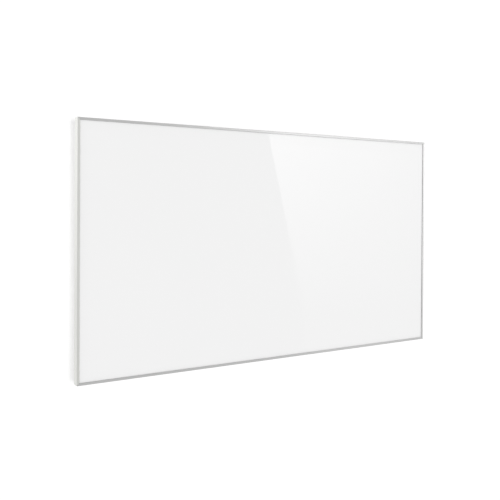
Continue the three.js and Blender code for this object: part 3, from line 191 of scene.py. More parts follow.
# The glass mirrors a soft light that stands in front of it on the right. The light's left edge
# crosses the photograph at these pixels, and it fades towards its foot and its right.
EDGE_PIXELS = [(268.5, 134.0), (301.0, 295.0), (305.5, 350.0)]
LIGHT_TOP_PIXEL = (268.5, 150.0)
LIGHT_FOOT_PIXEL = (305.5, 318.0)
LIGHT_RIGHT_PIXEL = (415.0, 150.0)
LIGHT_DISTANCE = 1.6
LIGHT_PEAK_PIXEL = (150.0, 35.0)
LIGHT_DROP = 0.3
LIGHT_RIGHT_X = 3.2
LIGHT_PEAK = 1.55
LIGHT_FOOT_SHARE = 0.13
LIGHT_RIGHT_SHARE = 0.38
GLASS_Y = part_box("front_glass")[0].y


def mirrored(column, row):
    """The place in the light's plane that the glass shows at a pixel of the photograph."""
    x = (column - PHOTO_SIDE / 2) / FOCAL_PIXELS
    y = (AXIS_ROW - row) / FOCAL_PIXELS
    ray = CAMERA_TURN.to_matrix() @ Vector((x, y, -1))
    spot = CAMERA_PLACE + ray * (GLASS_Y - CAMERA_PLACE.y) / ray.y
    return spot + Vector((ray.x, -ray.y, ray.z)) * LIGHT_DISTANCE / ray.y


def glow_material(name, across, upward):
    """A glow of 1 and a part that changes along X and along Z, each given as (value at start,
    value at end, start, end) with its two places in metres."""
    material, tree = bare_material(name)
    place = add_node(tree, "TexCoord").outputs["Object"]
    axes = add_node(tree, "SeparateXYZ", _0=place).outputs
    along_x = remapped(tree, axes["X"], *across)
    along_z = remapped(tree, axes["Z"], *upward)
    level = math_node(tree, "ADD", math_node(tree, "MULTIPLY", along_x, along_z), 1.0)
    add_node(tree, "OutputMaterial", Surface=add_node(tree, "Emission", Strength=level).outputs[0])
    return material


def add_soft_light():
    edge = [mirrored(*pixel) for pixel in EDGE_PIXELS]
    top = mirrored(*LIGHT_PEAK_PIXEL)
    foot = edge[-1] + (edge[-1] - edge[-2]).normalized() * LIGHT_DROP
    right = [Vector((LIGHT_RIGHT_X, end.y, end.z)) for end in (foot, top)]
    start = mirrored(*LIGHT_TOP_PIXEL)
    across = (LIGHT_PEAK, LIGHT_PEAK * LIGHT_RIGHT_SHARE, start.x, mirrored(*LIGHT_RIGHT_PIXEL).x)
    upward = (LIGHT_FOOT_SHARE, 1, mirrored(*LIGHT_FOOT_PIXEL).z, start.z)
    glow = glow_material("soft_light_glow", across, upward)
    add_sheet("soft_light", [top, *edge, foot, *right], glow, "glossy")


# A lit screen behind the wall's plane on the left, which the frame's left side shows.
SCREEN_Y = 1.5
SCREEN_X = (-3.2, -0.35)
SCREEN_Z = (-1.6, 1.2)
SCREEN_PEAK = 0.5
SCREEN_FOOT_SHARE = 0.5
SCREEN_FADE_Z = (-0.5, 0.1)


def add_screen():
    (x0, x1), (z0, z1) = SCREEN_X, SCREEN_Z
    corners = [(x0, SCREEN_Y, z0), (x1, SCREEN_Y, z0), (x1, SCREEN_Y, z1), (x0, SCREEN_Y, z1)]
    across = (SCREEN_PEAK, SCREEN_PEAK, x0, x1)
    upward = (SCREEN_FOOT_SHARE, 1, *SCREEN_FADE_Z)
    add_sheet("screen", corners, glow_material("screen_glow", across, upward), "glossy")


add_world()
add_suns()
add_backdrops()
add_soft_light()
add_screen()

# ---------------------------------------------------------------- materials

# The colour sockets of a Mix node: its two inputs and its result
MIX_FROM, MIX_TO, MIX_RESULT = 6, 7, 2


class Surface:
    """A Principled material. Its patterns lie in the object's own space, and a pattern's size is
    millimetres, either one number or one for each axis. Start and end are the values of a
    pattern between which it takes effect."""

    def __init__(self, name, color, roughness, metallic=0.0, **sockets):
        self.material = bpy.data.materials.new(name)
        self.material.use_nodes = True
        self.tree = self.material.node_tree
        self.shader = self.tree.nodes["Principled BSDF"]
        self.color = color
        self.set(Base_Color=(*color, 1), Roughness=roughness, Metallic=metallic, **sockets)

    def set(self, **sockets):
        for name, value in sockets.items():
            socket = self.shader.inputs[name.replace("_", " ")]
            if isinstance(value, bpy.types.NodeSocket):
                self.tree.links.new(value, socket)
            else:
                socket.default_value = value

    def place(self, size):
        sizes = size if isinstance(size, tuple) else (size, size, size)
        at = add_node(self.tree, "TexCoord").outputs["Object"]
        scale = [1 / (length * MM) for length in sizes]
        return add_node(self.tree, "Mapping", Vector=at, Scale=scale).outputs[0]

    def noise(self, size, detail=3.0, distortion=0.0):
        texture = add_node(self.tree, "TexNoise", Vector=self.place(size), Scale=1.0)
        texture.inputs["Detail"].default_value = detail
        texture.inputs["Distortion"].default_value = distortion
        return texture.outputs["Fac"]

    def cells(self, size, feature="F1", output="Distance"):
        place = self.place(size)
        texture = add_node(self.tree, "TexVoronoi", {"feature": feature}, Vector=place, Scale=1.0)
        return texture.outputs[output]

    def value(self, pattern, low, high, start=0.3, end=0.7):
        return remapped(self.tree, pattern, low, high, start, end)

    def shaded(self, pattern, spread, start=0.3, end=0.7):
        """Lightens and darkens the colour by a share."""
        low = [c * (1 - spread) for c in self.color]
        high = [min(1, c * (1 + spread)) for c in self.color]
        self.tinted(pattern, low, high, start, end)

    def tinted(self, pattern, low, high, start=0.3, end=0.7):
        """Runs from one colour to another."""
        share = self.value(pattern, 0, 1, start, end)
        mix = add_node(self.tree, "Mix", {"data_type": "RGBA"}, Factor=share)
        mix.inputs[MIX_FROM].default_value = (*low, 1)
        mix.inputs[MIX_TO].default_value = (*high, 1)
        self.set(Base_Color=mix.outputs[MIX_RESULT])

    def roughened(self, pattern, low, high, start=0.3, end=0.7):
        self.set(Roughness=self.value(pattern, low, high, start, end))

    def raised(self, *layers):
        """Bumps, each (pattern, height in millimetres)."""
        normal = None
        for pattern, height in layers:
            bump = add_node(self.tree, "Bump", Height=pattern, Distance=height * MM, Strength=1.0)
            if normal is not None:
                self.tree.links.new(normal, bump.inputs["Normal"])
            normal = bump.outputs[0]
        self.set(Normal=normal)

    def grained(self, grain, amount):
        """Stretches highlights across a grain that runs along a given axis."""
        normal = add_node(self.tree, "NewGeometry").outputs["Normal"]
        across = add_node(self.tree, "VectorMath", {"operation": "CROSS_PRODUCT"}, _0=normal, _1=grain)
        self.set(Anisotropic=amount, Tangent=across.outputs[0])


def white_glass():
    s = Surface("white_glass", (0.87, 0.87, 0.87), 0.02, IOR=1.52)
    s.shaded(s.noise(180), 0.002)
    s.raised((s.noise((900, 900, 260), detail=1.0), 0.02))
    return s.material


def anodised(name, color, grain, streak):
    s = Surface(name, color, 0.3, 1.0)
    streaks = s.noise(streak, detail=5.0)
    s.shaded(streaks, 0.035)
    s.roughened(streaks, 0.27, 0.33)
    s.raised((streaks, 0.003), (s.noise(0.25), 0.002))
    s.grained(grain, 0.6)
    return s.material


def mill_aluminium():
    s = Surface("key_aluminium", (0.55, 0.56, 0.57), 0.42, 1.0)
    s.shaded(s.noise(3), 0.08)
    s.raised((s.noise(0.4), 0.01))
    return s.material


def foam_rubber():
    s = Surface("gasket_foam", (0.03, 0.03, 0.031), 0.85)
    s.raised((s.cells(0.5), 0.08))
    s.shaded(s.noise(1.5), 0.25)
    return s.material


def mica():
    s = Surface("mica_film", (0.11, 0.095, 0.085), 0.5)
    s.tinted(s.noise(9, detail=6.0, distortion=0.6), (0.07, 0.06, 0.055), (0.16, 0.14, 0.12))
    s.roughened(s.cells(2.5), 0.35, 0.6, 0.1, 0.7)
    s.raised((s.noise(1.2), 0.01))
    return s.material


def copper():
    s = Surface("busbar_copper", (0.72, 0.36, 0.2), 0.32, 1.0)
    s.tinted(s.noise((4, 4, 30), detail=5.0), (0.55, 0.25, 0.14), (0.78, 0.42, 0.25))
    s.roughened(s.noise((0.4, 0.4, 40)), 0.25, 0.42)
    return s.material


def foil():
    s = Surface("reflector_foil", (0.86, 0.87, 0.88), 0.18, 1.0)
    s.raised((s.cells(14, "DISTANCE_TO_EDGE"), 0.5), (s.noise(4, detail=5.0), 0.12))
    s.roughened(s.noise(8), 0.12, 0.26)
    return s.material


def mineral():
    s = Surface("mineral_board", (0.62, 0.58, 0.47), 0.95)
    s.tinted(s.noise((6, 6, 1.2), detail=8.0, distortion=1.0), (0.54, 0.5, 0.39), (0.7, 0.66, 0.55))
    s.raised((s.noise((5, 5, 0.7), detail=6.0, distortion=1.0), 0.25), (s.noise(0.6), 0.08))
    return s.material


def powder_coat():
    s = Surface("powder_coated_steel", (0.78, 0.78, 0.765), 0.45)
    s.shaded(s.noise(60), 0.012)
    s.roughened(s.noise(5), 0.4, 0.5)
    s.raised((s.noise(1.6, detail=1.0), 0.03), (s.noise(0.35), 0.006))
    return s.material


def zinc_sheet():
    s = Surface("zinc_sheet", (0.6, 0.615, 0.63), 0.36, 1.0)
    spangle = s.cells(7, "SMOOTH_F1", "Color")
    s.shaded(spangle, 0.07, 0.1, 0.9)
    s.roughened(s.noise(9, detail=5.0), 0.28, 0.44)
    s.raised((s.noise(0.5), 0.006))
    return s.material


def zinc_screw():
    s = Surface("zinc_screw", (0.64, 0.66, 0.68), 0.28, 1.0)
    s.tinted(s.noise(2.5, detail=4.0), (0.58, 0.6, 0.64), (0.7, 0.7, 0.68))
    s.roughened(s.noise(0.8), 0.22, 0.34)
    s.raised((s.noise(0.3), 0.003))
    return s.material


def rubber():
    s = Surface("black_rubber", (0.028, 0.028, 0.029), 0.75)
    s.shaded(s.noise(4, detail=5.0), 0.14)
    s.roughened(s.noise(2), 0.7, 0.82)
    s.raised((s.noise(0.35), 0.02))
    return s.material


def moulded(name, color, roughness, texture):
    """A moulded plastic with the fine texture of its mould, that many millimetres high."""
    s = Surface(name, color, roughness)
    s.shaded(s.noise(35), 0.015)
    s.roughened(s.noise(3), roughness - 0.05, roughness + 0.05)
    s.raised((s.noise(0.45, detail=2.0), texture))
    return s.material


def brass():
    s = Surface("brass", (0.78, 0.56, 0.25), 0.3, 1.0)
    s.shaded(s.noise(5, detail=4.0), 0.1)
    s.roughened(s.noise((0.2, 0.2, 6)), 0.22, 0.4)
    return s.material


def sleeve(name, color):
    s = Surface(name, color, 0.42)
    s.shaded(s.noise(6), 0.06)
    s.raised((s.noise(1.2), 0.01))
    return s.material


def striped_sleeve():
    green, yellow = (0.09, 0.33, 0.06), (0.75, 0.68, 0.05)
    s = Surface("earth_lead", green, 0.42)
    stripes = add_node(s.tree, "TexWave", {"bands_direction": "DIAGONAL"}, Vector=s.place(7), Scale=1.0)
    s.tinted(stripes.outputs["Fac"], green, yellow, 0.55, 0.6)
    return s.material


# The way a bar's grain runs, and the size of its streaks
ALONG_X = ((1, 0, 0), (90, 0.5, 0.5))
ALONG_Z = ((0, 0, 1), (0.5, 0.5, 90))
# Lit and shaded copies of one anodised aluminium. The top and bottom bars get a darker copy, which is
# painted shade. The left and right bars get lighter copies, which are painted light, and the left one is
# also tinted. Only the grain direction is a real difference between the bars.
ANODISED_LEVEL_SHADED = anodised("anodised_level_painted_shade", (0.485, 0.485, 0.483), *ALONG_X)
ANODISED_SIDES_LIT = {
    "left": anodised("anodised_left_painted_light", (0.585, 0.59, 0.568), *ALONG_Z),
    "right": anodised("anodised_right_painted_light", (0.6, 0.6, 0.598), *ALONG_Z),
}
MATERIALS = {
    "white_glass": white_glass(),
    "anodised_aluminium": ANODISED_LEVEL_SHADED,
    "key_aluminium": mill_aluminium(),
    "black_gasket": foam_rubber(),
    "mica_film": mica(),
    "copper_busbar": copper(),
    "reflector_foil": foil(),
    "mineral_board": mineral(),
    "powder_coated_steel": powder_coat(),
    "zinc_screw": zinc_screw(),
    "zinc_sheet": zinc_sheet(),
    "black_rubber": rubber(),
    "box_plastic": moulded("box_plastic", (0.7, 0.71, 0.7), 0.5, 0.012),
    "gland_plastic": moulded("gland_plastic", (0.5, 0.51, 0.5), 0.4, 0.008),
    "switch_plastic": moulded("switch_plastic", (0.022, 0.022, 0.024), 0.4, 0.01),
    "rocker_plastic": moulded("rocker_plastic", (0.03, 0.03, 0.032), 0.25, 0.003),
    "terminal_plastic": moulded("terminal_plastic", (0.78, 0.74, 0.6), 0.45, 0.006),
    "brass": brass(),
    "cutout_plastic": moulded("cutout_plastic", (0.035, 0.035, 0.035), 0.45, 0.01),
    "brown_lead": sleeve("brown_lead", (0.12, 0.045, 0.018)),
    "blue_lead": sleeve("blue_lead", (0.025, 0.1, 0.32)),
    "earth_lead": striped_sleeve(),
}


def dress_nodes():
    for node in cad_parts.values():
        worn = node.material_slots[0]
        worn.material = MATERIALS[worn.material.name]
    # The upright bars get the lighter copies, which are painted light.
    for side, material in ANODISED_SIDES_LIT.items():
        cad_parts["frame_" + side].material_slots[0].material = material


dress_nodes()

# ---------------------------------------------------------------- shapes, in millimetres

STRAIGHT_ON = 0.01
LONGEST_ARC_SHARE = 0.48
ON_AXIS = 1e-6
WELD_DISTANCE = 1e-4


def rounded(points, radius, steps=4, closed=False):
    """The same path with arcs for corners. Radius is one number or one for each point."""
    path = []
    count = len(points)
    for i, point in enumerate(points):
        size = radius[i] if isinstance(radius, (list, tuple)) else radius
        here = Vector(point)
        back = Vector(points[i - 1]) - here
        ahead = Vector(points[(i + 1) % count]) - here
        turn = math.pi - back.angle(ahead)
        is_end = not closed and i in (0, count - 1)
        if is_end or size == 0 or turn < STRAIGHT_ON:
            path.append(here)
            continue
        room = LONGEST_ARC_SHARE * min(back.length, ahead.length)
        reach = min(size * math.tan(turn / 2), room)
        start = here + back.normalized() * reach
        end = here + ahead.normalized() * reach
        for step in range(steps + 1):
            u = step / steps
            weights = ((1 - u) ** 2, 2 * u * (1 - u) * math.cos(turn / 2), u ** 2)
            path.append((start * weights[0] + here * weights[1] + end * weights[2]) / sum(weights))
    return path


def rectangle(width, height, radius, steps=6):
    w, h = width / 2, height / 2
    return rounded([(-w, -h), (w, -h), (w, h), (-w, h)], radius, steps, closed=True)


def shape_from(loops, closed=False):
    """Quads from each loop of points to the next. A loop of one point is a tip."""
    shape = bmesh.new()
    rings = [[shape.verts.new(point) for point in loop] for loop in loops]
    pairs = list(zip(rings, rings[1:]))
    if closed:
        pairs.append((rings[-1], rings[0]))
    for low, high in pairs:
        count = max(len(low), len(high))
        for k in range(count):
            n = (k + 1) % count
            corners = (low[k % len(low)], low[n % len(low)], high[n % len(high)], high[k % len(high)])
            distinct = list(dict.fromkeys(corners))
            if len(distinct) > 2:
                shape.faces.new(distinct)
    if not closed:
        for ring in (rings[0], rings[-1]):
            if len(ring) > 2:
                shape.faces.new(ring)
    bmesh.ops.recalc_face_normals(shape, faces=shape.faces)
    return shape


def turned(profile, sides=64, flats=None, closed=False):
    """A profile of (radius, place along Y) turned about Y. Flats cut it to a hexagon that wide."""
    loops = []
    for radius, along in profile:
        if radius < ON_AXIS:
            loops.append([(0, along, 0)])
            continue
        loop = []
        for k in range(sides):
            angle = 2 * math.pi * k / sides
            reach = radius
            if flats:
                from_flat = (angle + math.pi / 3) % (math.pi / 3) - math.pi / 6
                reach = min(radius, flats / 2 / math.cos(from_flat))
            loop.append((reach * math.cos(angle), along, reach * math.sin(angle)))
        loops.append(loop)
    return shape_from(loops, closed)


def slab(outline, low, high, edge=0.0, steps=3):
    """An outline in X and Z given a thickness along Y, with rounded rims."""
    levels = [(low, 0), (high, 0)]
    if edge:
        angles = [math.pi / 2 * step / steps for step in range(steps + 1)]
        rim = [(edge * (1 - math.sin(angle)), edge * (1 - math.cos(angle))) for angle in angles]
        levels = [(low + up, inset) for inset, up in rim]
        levels += [(high - up, inset) for inset, up in reversed(rim)]
    loops = []
    for along, inset in levels:
        points = inset_outline(outline, inset) if inset else outline
        loops.append([(p.x, along, p.y) for p in points])
    return shape_from(loops)


def inset_outline(outline, inset):
    """Each point moved inwards, square to the outline. The outline runs anticlockwise."""
    count = len(outline)
    moved = []
    for i, point in enumerate(outline):
        along = (outline[(i + 1) % count] - outline[i - 1]).normalized()
        moved.append(point + Vector((-along.y, along.x)) * inset)
    return moved


def strip(path, thick, width, bend):
    """Sheet metal bent along a path of (Y, Z) at its middle, and that wide along X."""
    middle = rounded(path, bend, 8)
    left, right = [], []
    for i, point in enumerate(middle):
        along = (middle[min(i + 1, len(middle) - 1)] - middle[max(i - 1, 0)]).normalized()
        side = Vector((-along.y, along.x)) * thick / 2
        left.append(point + side)
        right.append(point - side)
    section = left + right[::-1]
    return shape_from([[(x, p.x, p.y) for p in section] for x in (-width / 2, width / 2)])


def bar(low, high):
    """A square-cornered bar between two corners."""
    (x0, y0, z0), (x1, y1, z1) = low, high
    outline = [(x0, z0), (x1, z0), (x1, z1), (x0, z1)]
    return shape_from([[(x, y, z) for x, z in outline] for y in (y0, y1)])


def moved(shape, x=0, y=0, z=0, turn=None):
    """The shape itself, first turned by (degrees, axis) and then moved."""
    place = Matrix.Translation((x, y, z))
    if turn:
        place = place @ Matrix.Rotation(math.radians(turn[0]), 4, turn[1])
    shape.transform(place)
    return shape


def mesh_from(shape, name):
    mesh = bpy.data.meshes.new(name)
    shape.to_mesh(mesh)
    shape.free()
    return mesh


def gathered(shapes):
    """Several shapes as one, without joining what overlaps."""
    whole = bmesh.new()
    for shape in shapes:
        mesh = mesh_from(shape, "part")
        whole.from_mesh(mesh)
        bpy.data.meshes.remove(mesh)
    return whole


def combined(shape, tools, operation):
    """The shape after a boolean operation with each of the tools."""
    base = bpy.data.objects.new("base", mesh_from(shape, "base"))
    bpy.context.scene.collection.objects.link(base)
    helpers = []
    for tool in tools:
        helper = bpy.data.objects.new("tool", mesh_from(tool, "tool"))
        bpy.context.scene.collection.objects.link(helper)
        modifier = base.modifiers.new("cut", "BOOLEAN")
        modifier.object = helper
        modifier.operation = operation
        modifier.solver = "EXACT"
        helpers.append(helper)
    evaluated = base.evaluated_get(bpy.context.evaluated_depsgraph_get())
    result = bmesh.new()
    result.from_mesh(evaluated.to_mesh())
    for used in [base, *helpers]:
        mesh = used.data
        bpy.data.objects.remove(used)
        bpy.data.meshes.remove(mesh)
    bmesh.ops.remove_doubles(result, verts=result.verts, dist=WELD_DISTANCE)
    bmesh.ops.dissolve_degenerate(result, edges=result.edges, dist=WELD_DISTANCE)
    return result


def rod(x, z, radius, low, high, sides=40):
    """A round bar along Y, mostly a cutter for holes."""
    return moved(turned([(0, low), (radius, low), (radius, high), (0, high)], sides), x=x, z=z)


SMOOTH_BELOW = math.radians(32)
PIECE_EDGE_ANGLE = 40


def add_piece(name, slot, shape, body="heater", instead_of=None, softened=0.0):
    """A shape in millimetres becomes a piece that rides on a body and stands for its CAD node."""
    shape.transform(Matrix.Scale(MM, 4))
    mesh = mesh_from(shape, name)
    mesh.materials.append(MATERIALS[slot])
    mesh.shade_smooth()
    mesh.set_sharp_from_angle(angle=SMOOTH_BELOW)
    piece = bpy.data.objects.new(name, mesh)
    bpy.context.scene.collection.objects.link(piece)
    if softened:
        soften(piece, softened, PIECE_EDGE_ANGLE)
    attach(piece, body)
    if instead_of:
        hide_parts(instead_of)


def soften(piece, width, above):
    """Rounds the edges that turn by more than that many degrees."""
    bevel = piece.modifiers.new("rounded_edges", "BEVEL")
    bevel.width = width * MM
    bevel.segments = 2
    bevel.limit_method = "ANGLE"
    bevel.angle_limit = math.radians(above)
    bevel.use_clamp_overlap = True
    bevel.harden_normals = False
    weighted = piece.modifiers.new("even_shading", "WEIGHTED_NORMAL")
    weighted.keep_sharp = False


# ---------------------------------------------------------------- pieces at the back
# Their places and outer sizes are those of the CAD nodes that they stand for.


def nodes_named(start):
    """The names of the CAD nodes that begin like this, in the order of their numbers."""
    return sorted(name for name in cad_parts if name.startswith(start))


def box_of(node):
    """A CAD node's lowest and highest corner in millimetres, to a hundredth."""
    return [[round(value / MM, 2) for value in corner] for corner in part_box(node)]


def size_of(node):
    return [round(high - low, 2) for low, high in zip(*box_of(node))]


def middle_of(node):
    return [round((low + high) / 2, 2) for low, high in zip(*box_of(node))]


def place_of(node):
    """X and Z of a node's middle."""
    x, _, z = middle_of(node)
    return x, z


def round_ended(width, height, steps):
    """A strip's outline with half-round ends. A hundredth keeps the two arcs of an end apart."""
    return rectangle(width, height, min(width, height) / 2 - 0.01, steps)


# Cutters for the sheets at the back run between these places along Y
CUT_FROM, CUT_TO = -30, -20
PLATE_THICK = 0.8
PLATE_FRONT = box_of("back_plate")[0][1]
PLATE_BACK = round(PLATE_FRONT + PLATE_THICK, 2)
PLATE_CORNER = 3
# The radius of the hole for each of these
PLATE_HOLES = {"back_plate_screw": 1.65, "wall_buffer": 4.2, "wire_grommet": 7}
# Each bead's height over the plate's middle
BEAD_RISES = (140, 20, -100)
BEAD_LENGTH = 672
BEAD_WIDTH = 12
BEAD_WALL = 0.4
# How far in from the bead's rim, and how far out of the plate
BEAD_SECTION = [(-0.8, -0.3), (-0.5, 0.02), (0.1, 0.2), (0.8, 0.7), (1.7, 1.45), (2.5, 1.88), (3.4, 2.0)]


def bead(lift=0, inset=0):
    """One pressed bead, or with a lift and an inset the hollow on its other side."""
    loops = []
    for side, out in BEAD_SECTION:
        narrower = 2 * (side + inset)
        outline = round_ended(BEAD_LENGTH - narrower, BEAD_WIDTH - narrower, 14)
        loops.append([(p.x, PLATE_BACK + out + lift, p.y) for p in outline])
    return shape_from(loops)


def back_plate():
    """A sheet with pressed beads, hollow from inside, and with its holes."""
    width, _, height = size_of("back_plate")
    middle_z = middle_of("back_plate")[2]
    bead_places = [middle_z + rise for rise in BEAD_RISES]
    plate = slab(rectangle(width, height, PLATE_CORNER, 8), PLATE_FRONT, PLATE_BACK)
    plate = combined(moved(plate, z=middle_z), [moved(bead(), z=z) for z in bead_places], "UNION")
    cutters = [moved(bead(PLATE_FRONT - PLATE_BACK, BEAD_WALL), z=z) for z in bead_places]
    for kind, radius in PLATE_HOLES.items():
        cutters += [rod(*place_of(name), radius, CUT_FROM, CUT_TO) for name in nodes_named(kind)]
    plate = combined(plate, cutters, "DIFFERENCE")
    add_piece("back_plate_fine", "powder_coated_steel", plate, instead_of="back_plate")


# Each kind of screw: its slot, its shank's radius and its head's height
SCREWS = {
    "back_plate_screw": ("zinc_screw", 1.45, 2),
    "hanger_screw": ("zinc_screw", 1.9, 2.4),
    "lid_screw": ("zinc_screw", 1.3, 1.8),
    "box_screw": ("zinc_screw", 1.6, 2.2),
    "earth_screw": ("brass", 1.9, 2.4),
}
# A head's crown from its top to its rim, as shares of its radius and of its height
CROWN = ((0, 1), (0.45, 0.96), (0.82, 0.74), (1, 0.32), (1, 0))
CROWN_SOFTNESS_SHARE = 0.35
THREAD_START = -0.4
THREAD_PITCH_SHARE = 0.62
CORE_SHARE = 0.8
TIP_LENGTH_SHARE = 1.4
TIP_SHARE = 0.3
# The recess from its foot up: its width as a share, and its height as a share of the head's
RECESS_LEVELS = ((0.45, 0.3), (1.0, 0.85), (1.12, 1.4))
RECESS_ARM_SHARE = 0.56
RECESS_BLADE_SHARE = 0.13
BLADE_TAPER = 0.3


def screw_shape(shank, length, head, height):
    """A pan head with a cross recess, standing on Y 0, and a threaded shank below it."""
    crown = [(head * across, height * up) for across, up in CROWN]
    profile = rounded([*crown, (shank, 0)], head * CROWN_SOFTNESS_SHARE, 5)
    pitch = shank * THREAD_PITCH_SHARE
    core = shank * CORE_SHARE
    along = THREAD_START
    while along > -length + 2 * shank:
        profile += [Vector((shank, along)), Vector((core, along - pitch / 2))]
        along -= pitch
    profile += [Vector((core, -length + shank * TIP_LENGTH_SHARE))]
    profile += [Vector((shank * TIP_SHARE, -length)), Vector((0, -length))]
    body = turned([tuple(point) for point in profile], 48)
    return combined(body, [cross_cutter(head, height)], "DIFFERENCE")


def cross_cutter(head, height):
    """A cross that narrows towards its foot."""
    loops = []
    for share, up in RECESS_LEVELS:
        arm = head * RECESS_ARM_SHARE * share
        blade = head * RECESS_BLADE_SHARE * (1 - BLADE_TAPER + BLADE_TAPER * share)
        corner = [(arm, -blade), (arm, blade), (blade, blade)]
        cross = []
        for quarter in range(4):
            turn = Matrix.Rotation(quarter * math.pi / 2, 2)
            cross += [turn @ Vector(point) for point in corner]
        loops.append([(p.x, height * up, p.y) for p in cross])
    return shape_from(loops)


def add_screws():
    """Each screw is turned a little differently, as driven screws are."""
    number = 0
    for kind, (slot, shank, height) in SCREWS.items():
        names = nodes_named(kind)
        width, whole_length, _ = size_of(names[0])
        length = round(whole_length - height, 2)
        blank = mesh_from(screw_shape(shank, length, width / 2, height), "blank")
        for name in names:
            shape = bmesh.new()
            shape.from_mesh(blank)
            x, z = place_of(name)
            seat = round(box_of(name)[1][1] - height, 2)
            moved(shape, x, seat, z, turn=(number * 37 % 90, "Y"))
            add_piece(name + "_fine", slot, shape, instead_of=name)
            number += 1
        bpy.data.meshes.remove(blank)


# The rail and the hangers are bent from the same sheet
SHEET = 1.5
RAIL_STEP_Z = 13.25
RAIL_BEND = 2.75
RAIL_CORNER = 3
RAIL_SLOTS_X = (-180, -60, 60, 180)
RAIL_SLOT_SIZE = (14, 6)
RAIL_SLOT_Y = (-5, 5)
RAIL_BLANK_Y = (-20, 10)
HOOK_BEND = 1.75
HOOK_WIDTH = 40
HOOK_SEAT_Z = 26.3
HOOK_END_Z = 16.3
HOOK_ROOT_DEPTH = 4
WINDOW_HALF = 22
WINDOW_FOOT_Z = 21.8
HANGER_CORNER = 3
HANGER_HOLE = 2.1
SHEET_SOFTNESS = 0.2


def wall_rail():
    """A bent strip, cut to a blank with rounded corners and then slotted for wall screws."""
    (left, front, foot), (right, back, top) = box_of("wall_rail")
    near, far = front + SHEET / 2, back - SHEET / 2
    path = [(far, foot), (far, RAIL_STEP_Z), (near, RAIL_STEP_Z), (near, top)]
    rail = strip(path, SHEET, right - left, RAIL_BEND)
    outline = rectangle(right - left, top - foot, RAIL_CORNER, 8)
    blank = moved(slab(outline, *RAIL_BLANK_Y), z=(foot + top) / 2)
    rail = combined(rail, [blank], "INTERSECT")
    slots = [moved(slab(round_ended(*RAIL_SLOT_SIZE, 12), *RAIL_SLOT_Y), x=x) for x in RAIL_SLOTS_X]
    rail = combined(rail, slots, "DIFFERENCE")
    add_piece("wall_rail_fine", "zinc_sheet", rail, "wall_bracket", "wall_rail", softened=SHEET_SOFTNESS)


def hanger(name):
    """A flat plate with a window in its top, over which a hook is bent back."""
    (left, front, foot), (right, back, top) = box_of(name)
    middle_x = middle_of(name)[0]
    half = (right - left) / 2
    one_side = [
        (half, foot, HANGER_CORNER), (half, top, HANGER_CORNER),
        (WINDOW_HALF, top, 1), (WINDOW_HALF, WINDOW_FOOT_Z, 1.5),
    ]
    corners = [(-half, foot, HANGER_CORNER), *one_side]
    corners += [(-x, z, radius) for x, z, radius in reversed(one_side[1:])]
    outline = rounded([corner[:2] for corner in corners], [corner[2] for corner in corners], 6, closed=True)
    plate = slab(outline, front, front + SHEET)
    near, far = front + SHEET / 2, back - SHEET / 2
    crest = HOOK_SEAT_Z + SHEET / 2
    path = [(near, WINDOW_FOOT_Z - HOOK_ROOT_DEPTH), (near, crest), (far, crest), (far, HOOK_END_Z)]
    plate = combined(plate, [strip(path, SHEET, HOOK_WIDTH, HOOK_BEND)], "UNION")
    places = [place_of(screw) for screw in nodes_named("hanger_screw")]
    holes = [(x - middle_x, z) for x, z in places if abs(x - middle_x) < half]
    plate = combined(plate, [rod(x, z, HANGER_HOLE, CUT_FROM, CUT_TO) for x, z in holes], "DIFFERENCE")
    moved(plate, x=middle_x)
    add_piece(name + "_fine", "zinc_sheet", plate, instead_of=name, softened=SHEET_SOFTNESS)


def wall_buffer(name):
    """A push-in buffer: barbed stem, collar, tapering foot with a moulded ring in its end."""
    profile = [
        (0, -28.3), (3, -28.3), (5, -25.3), (5, -25), (4, -25), (4, -24), (10.4, -24), (11, -23.4),
        (11, -19), (9.6, -17.6), (9, -1), (8, 0), (5.5, 0), (5, -0.4), (4.4, -0.4), (4, 0), (0, 0),
    ]
    shape = turned([tuple(p) for p in rounded(profile, 0.5, 3)], 72)
    x, z = place_of(name)
    add_piece(name + "_fine", "black_rubber", moved(shape, x=x, z=z), instead_of=name)


# The wiring box is drawn about its own middle and then moved there
BOX_X, BOX_Z = place_of("junction_box_base")
BOX_WIDTH, _, BOX_HEIGHT = size_of("junction_box_base")
BOX_BACK, BOX_FOOT_Z = box_of("junction_box_base")[0][1:]
BOX_RIM = box_of("junction_box_base")[1][1]
POST_RADIUS = 4
POST_HOLE = 1.5
POST_TOP = -7.3
FLOOR_TOP = BOX_BACK + 2
# The radius of the hole for each of these
FLOOR_HOLES = {"wire_grommet": 7, "earth_screw": 2.1, "box_screw": 1.8}
RIB_THICK = 1
RIB_TOP = BOX_BACK + 4.8
RIB_Z = (-2, 16)
RIB_CLEARANCE = 0.3
INLET_HOLE = 6.2
SWITCH_OPENING = (13.4, 9)
SWITCH_X, INLET_Y, _ = middle_of("switch_housing")
GLAND_X = middle_of("gland_cap")[0]


def in_box(node):
    """A node's X and Z from the wiring box's middle."""
    x, z = place_of(node)
    return x - BOX_X, z - BOX_Z


def box_loop(inset, along, radius):
    outline = rectangle(BOX_WIDTH - 2 * inset, BOX_HEIGHT - 2 * inset, radius, 8)
    return [(p.x, along, p.y) for p in outline]


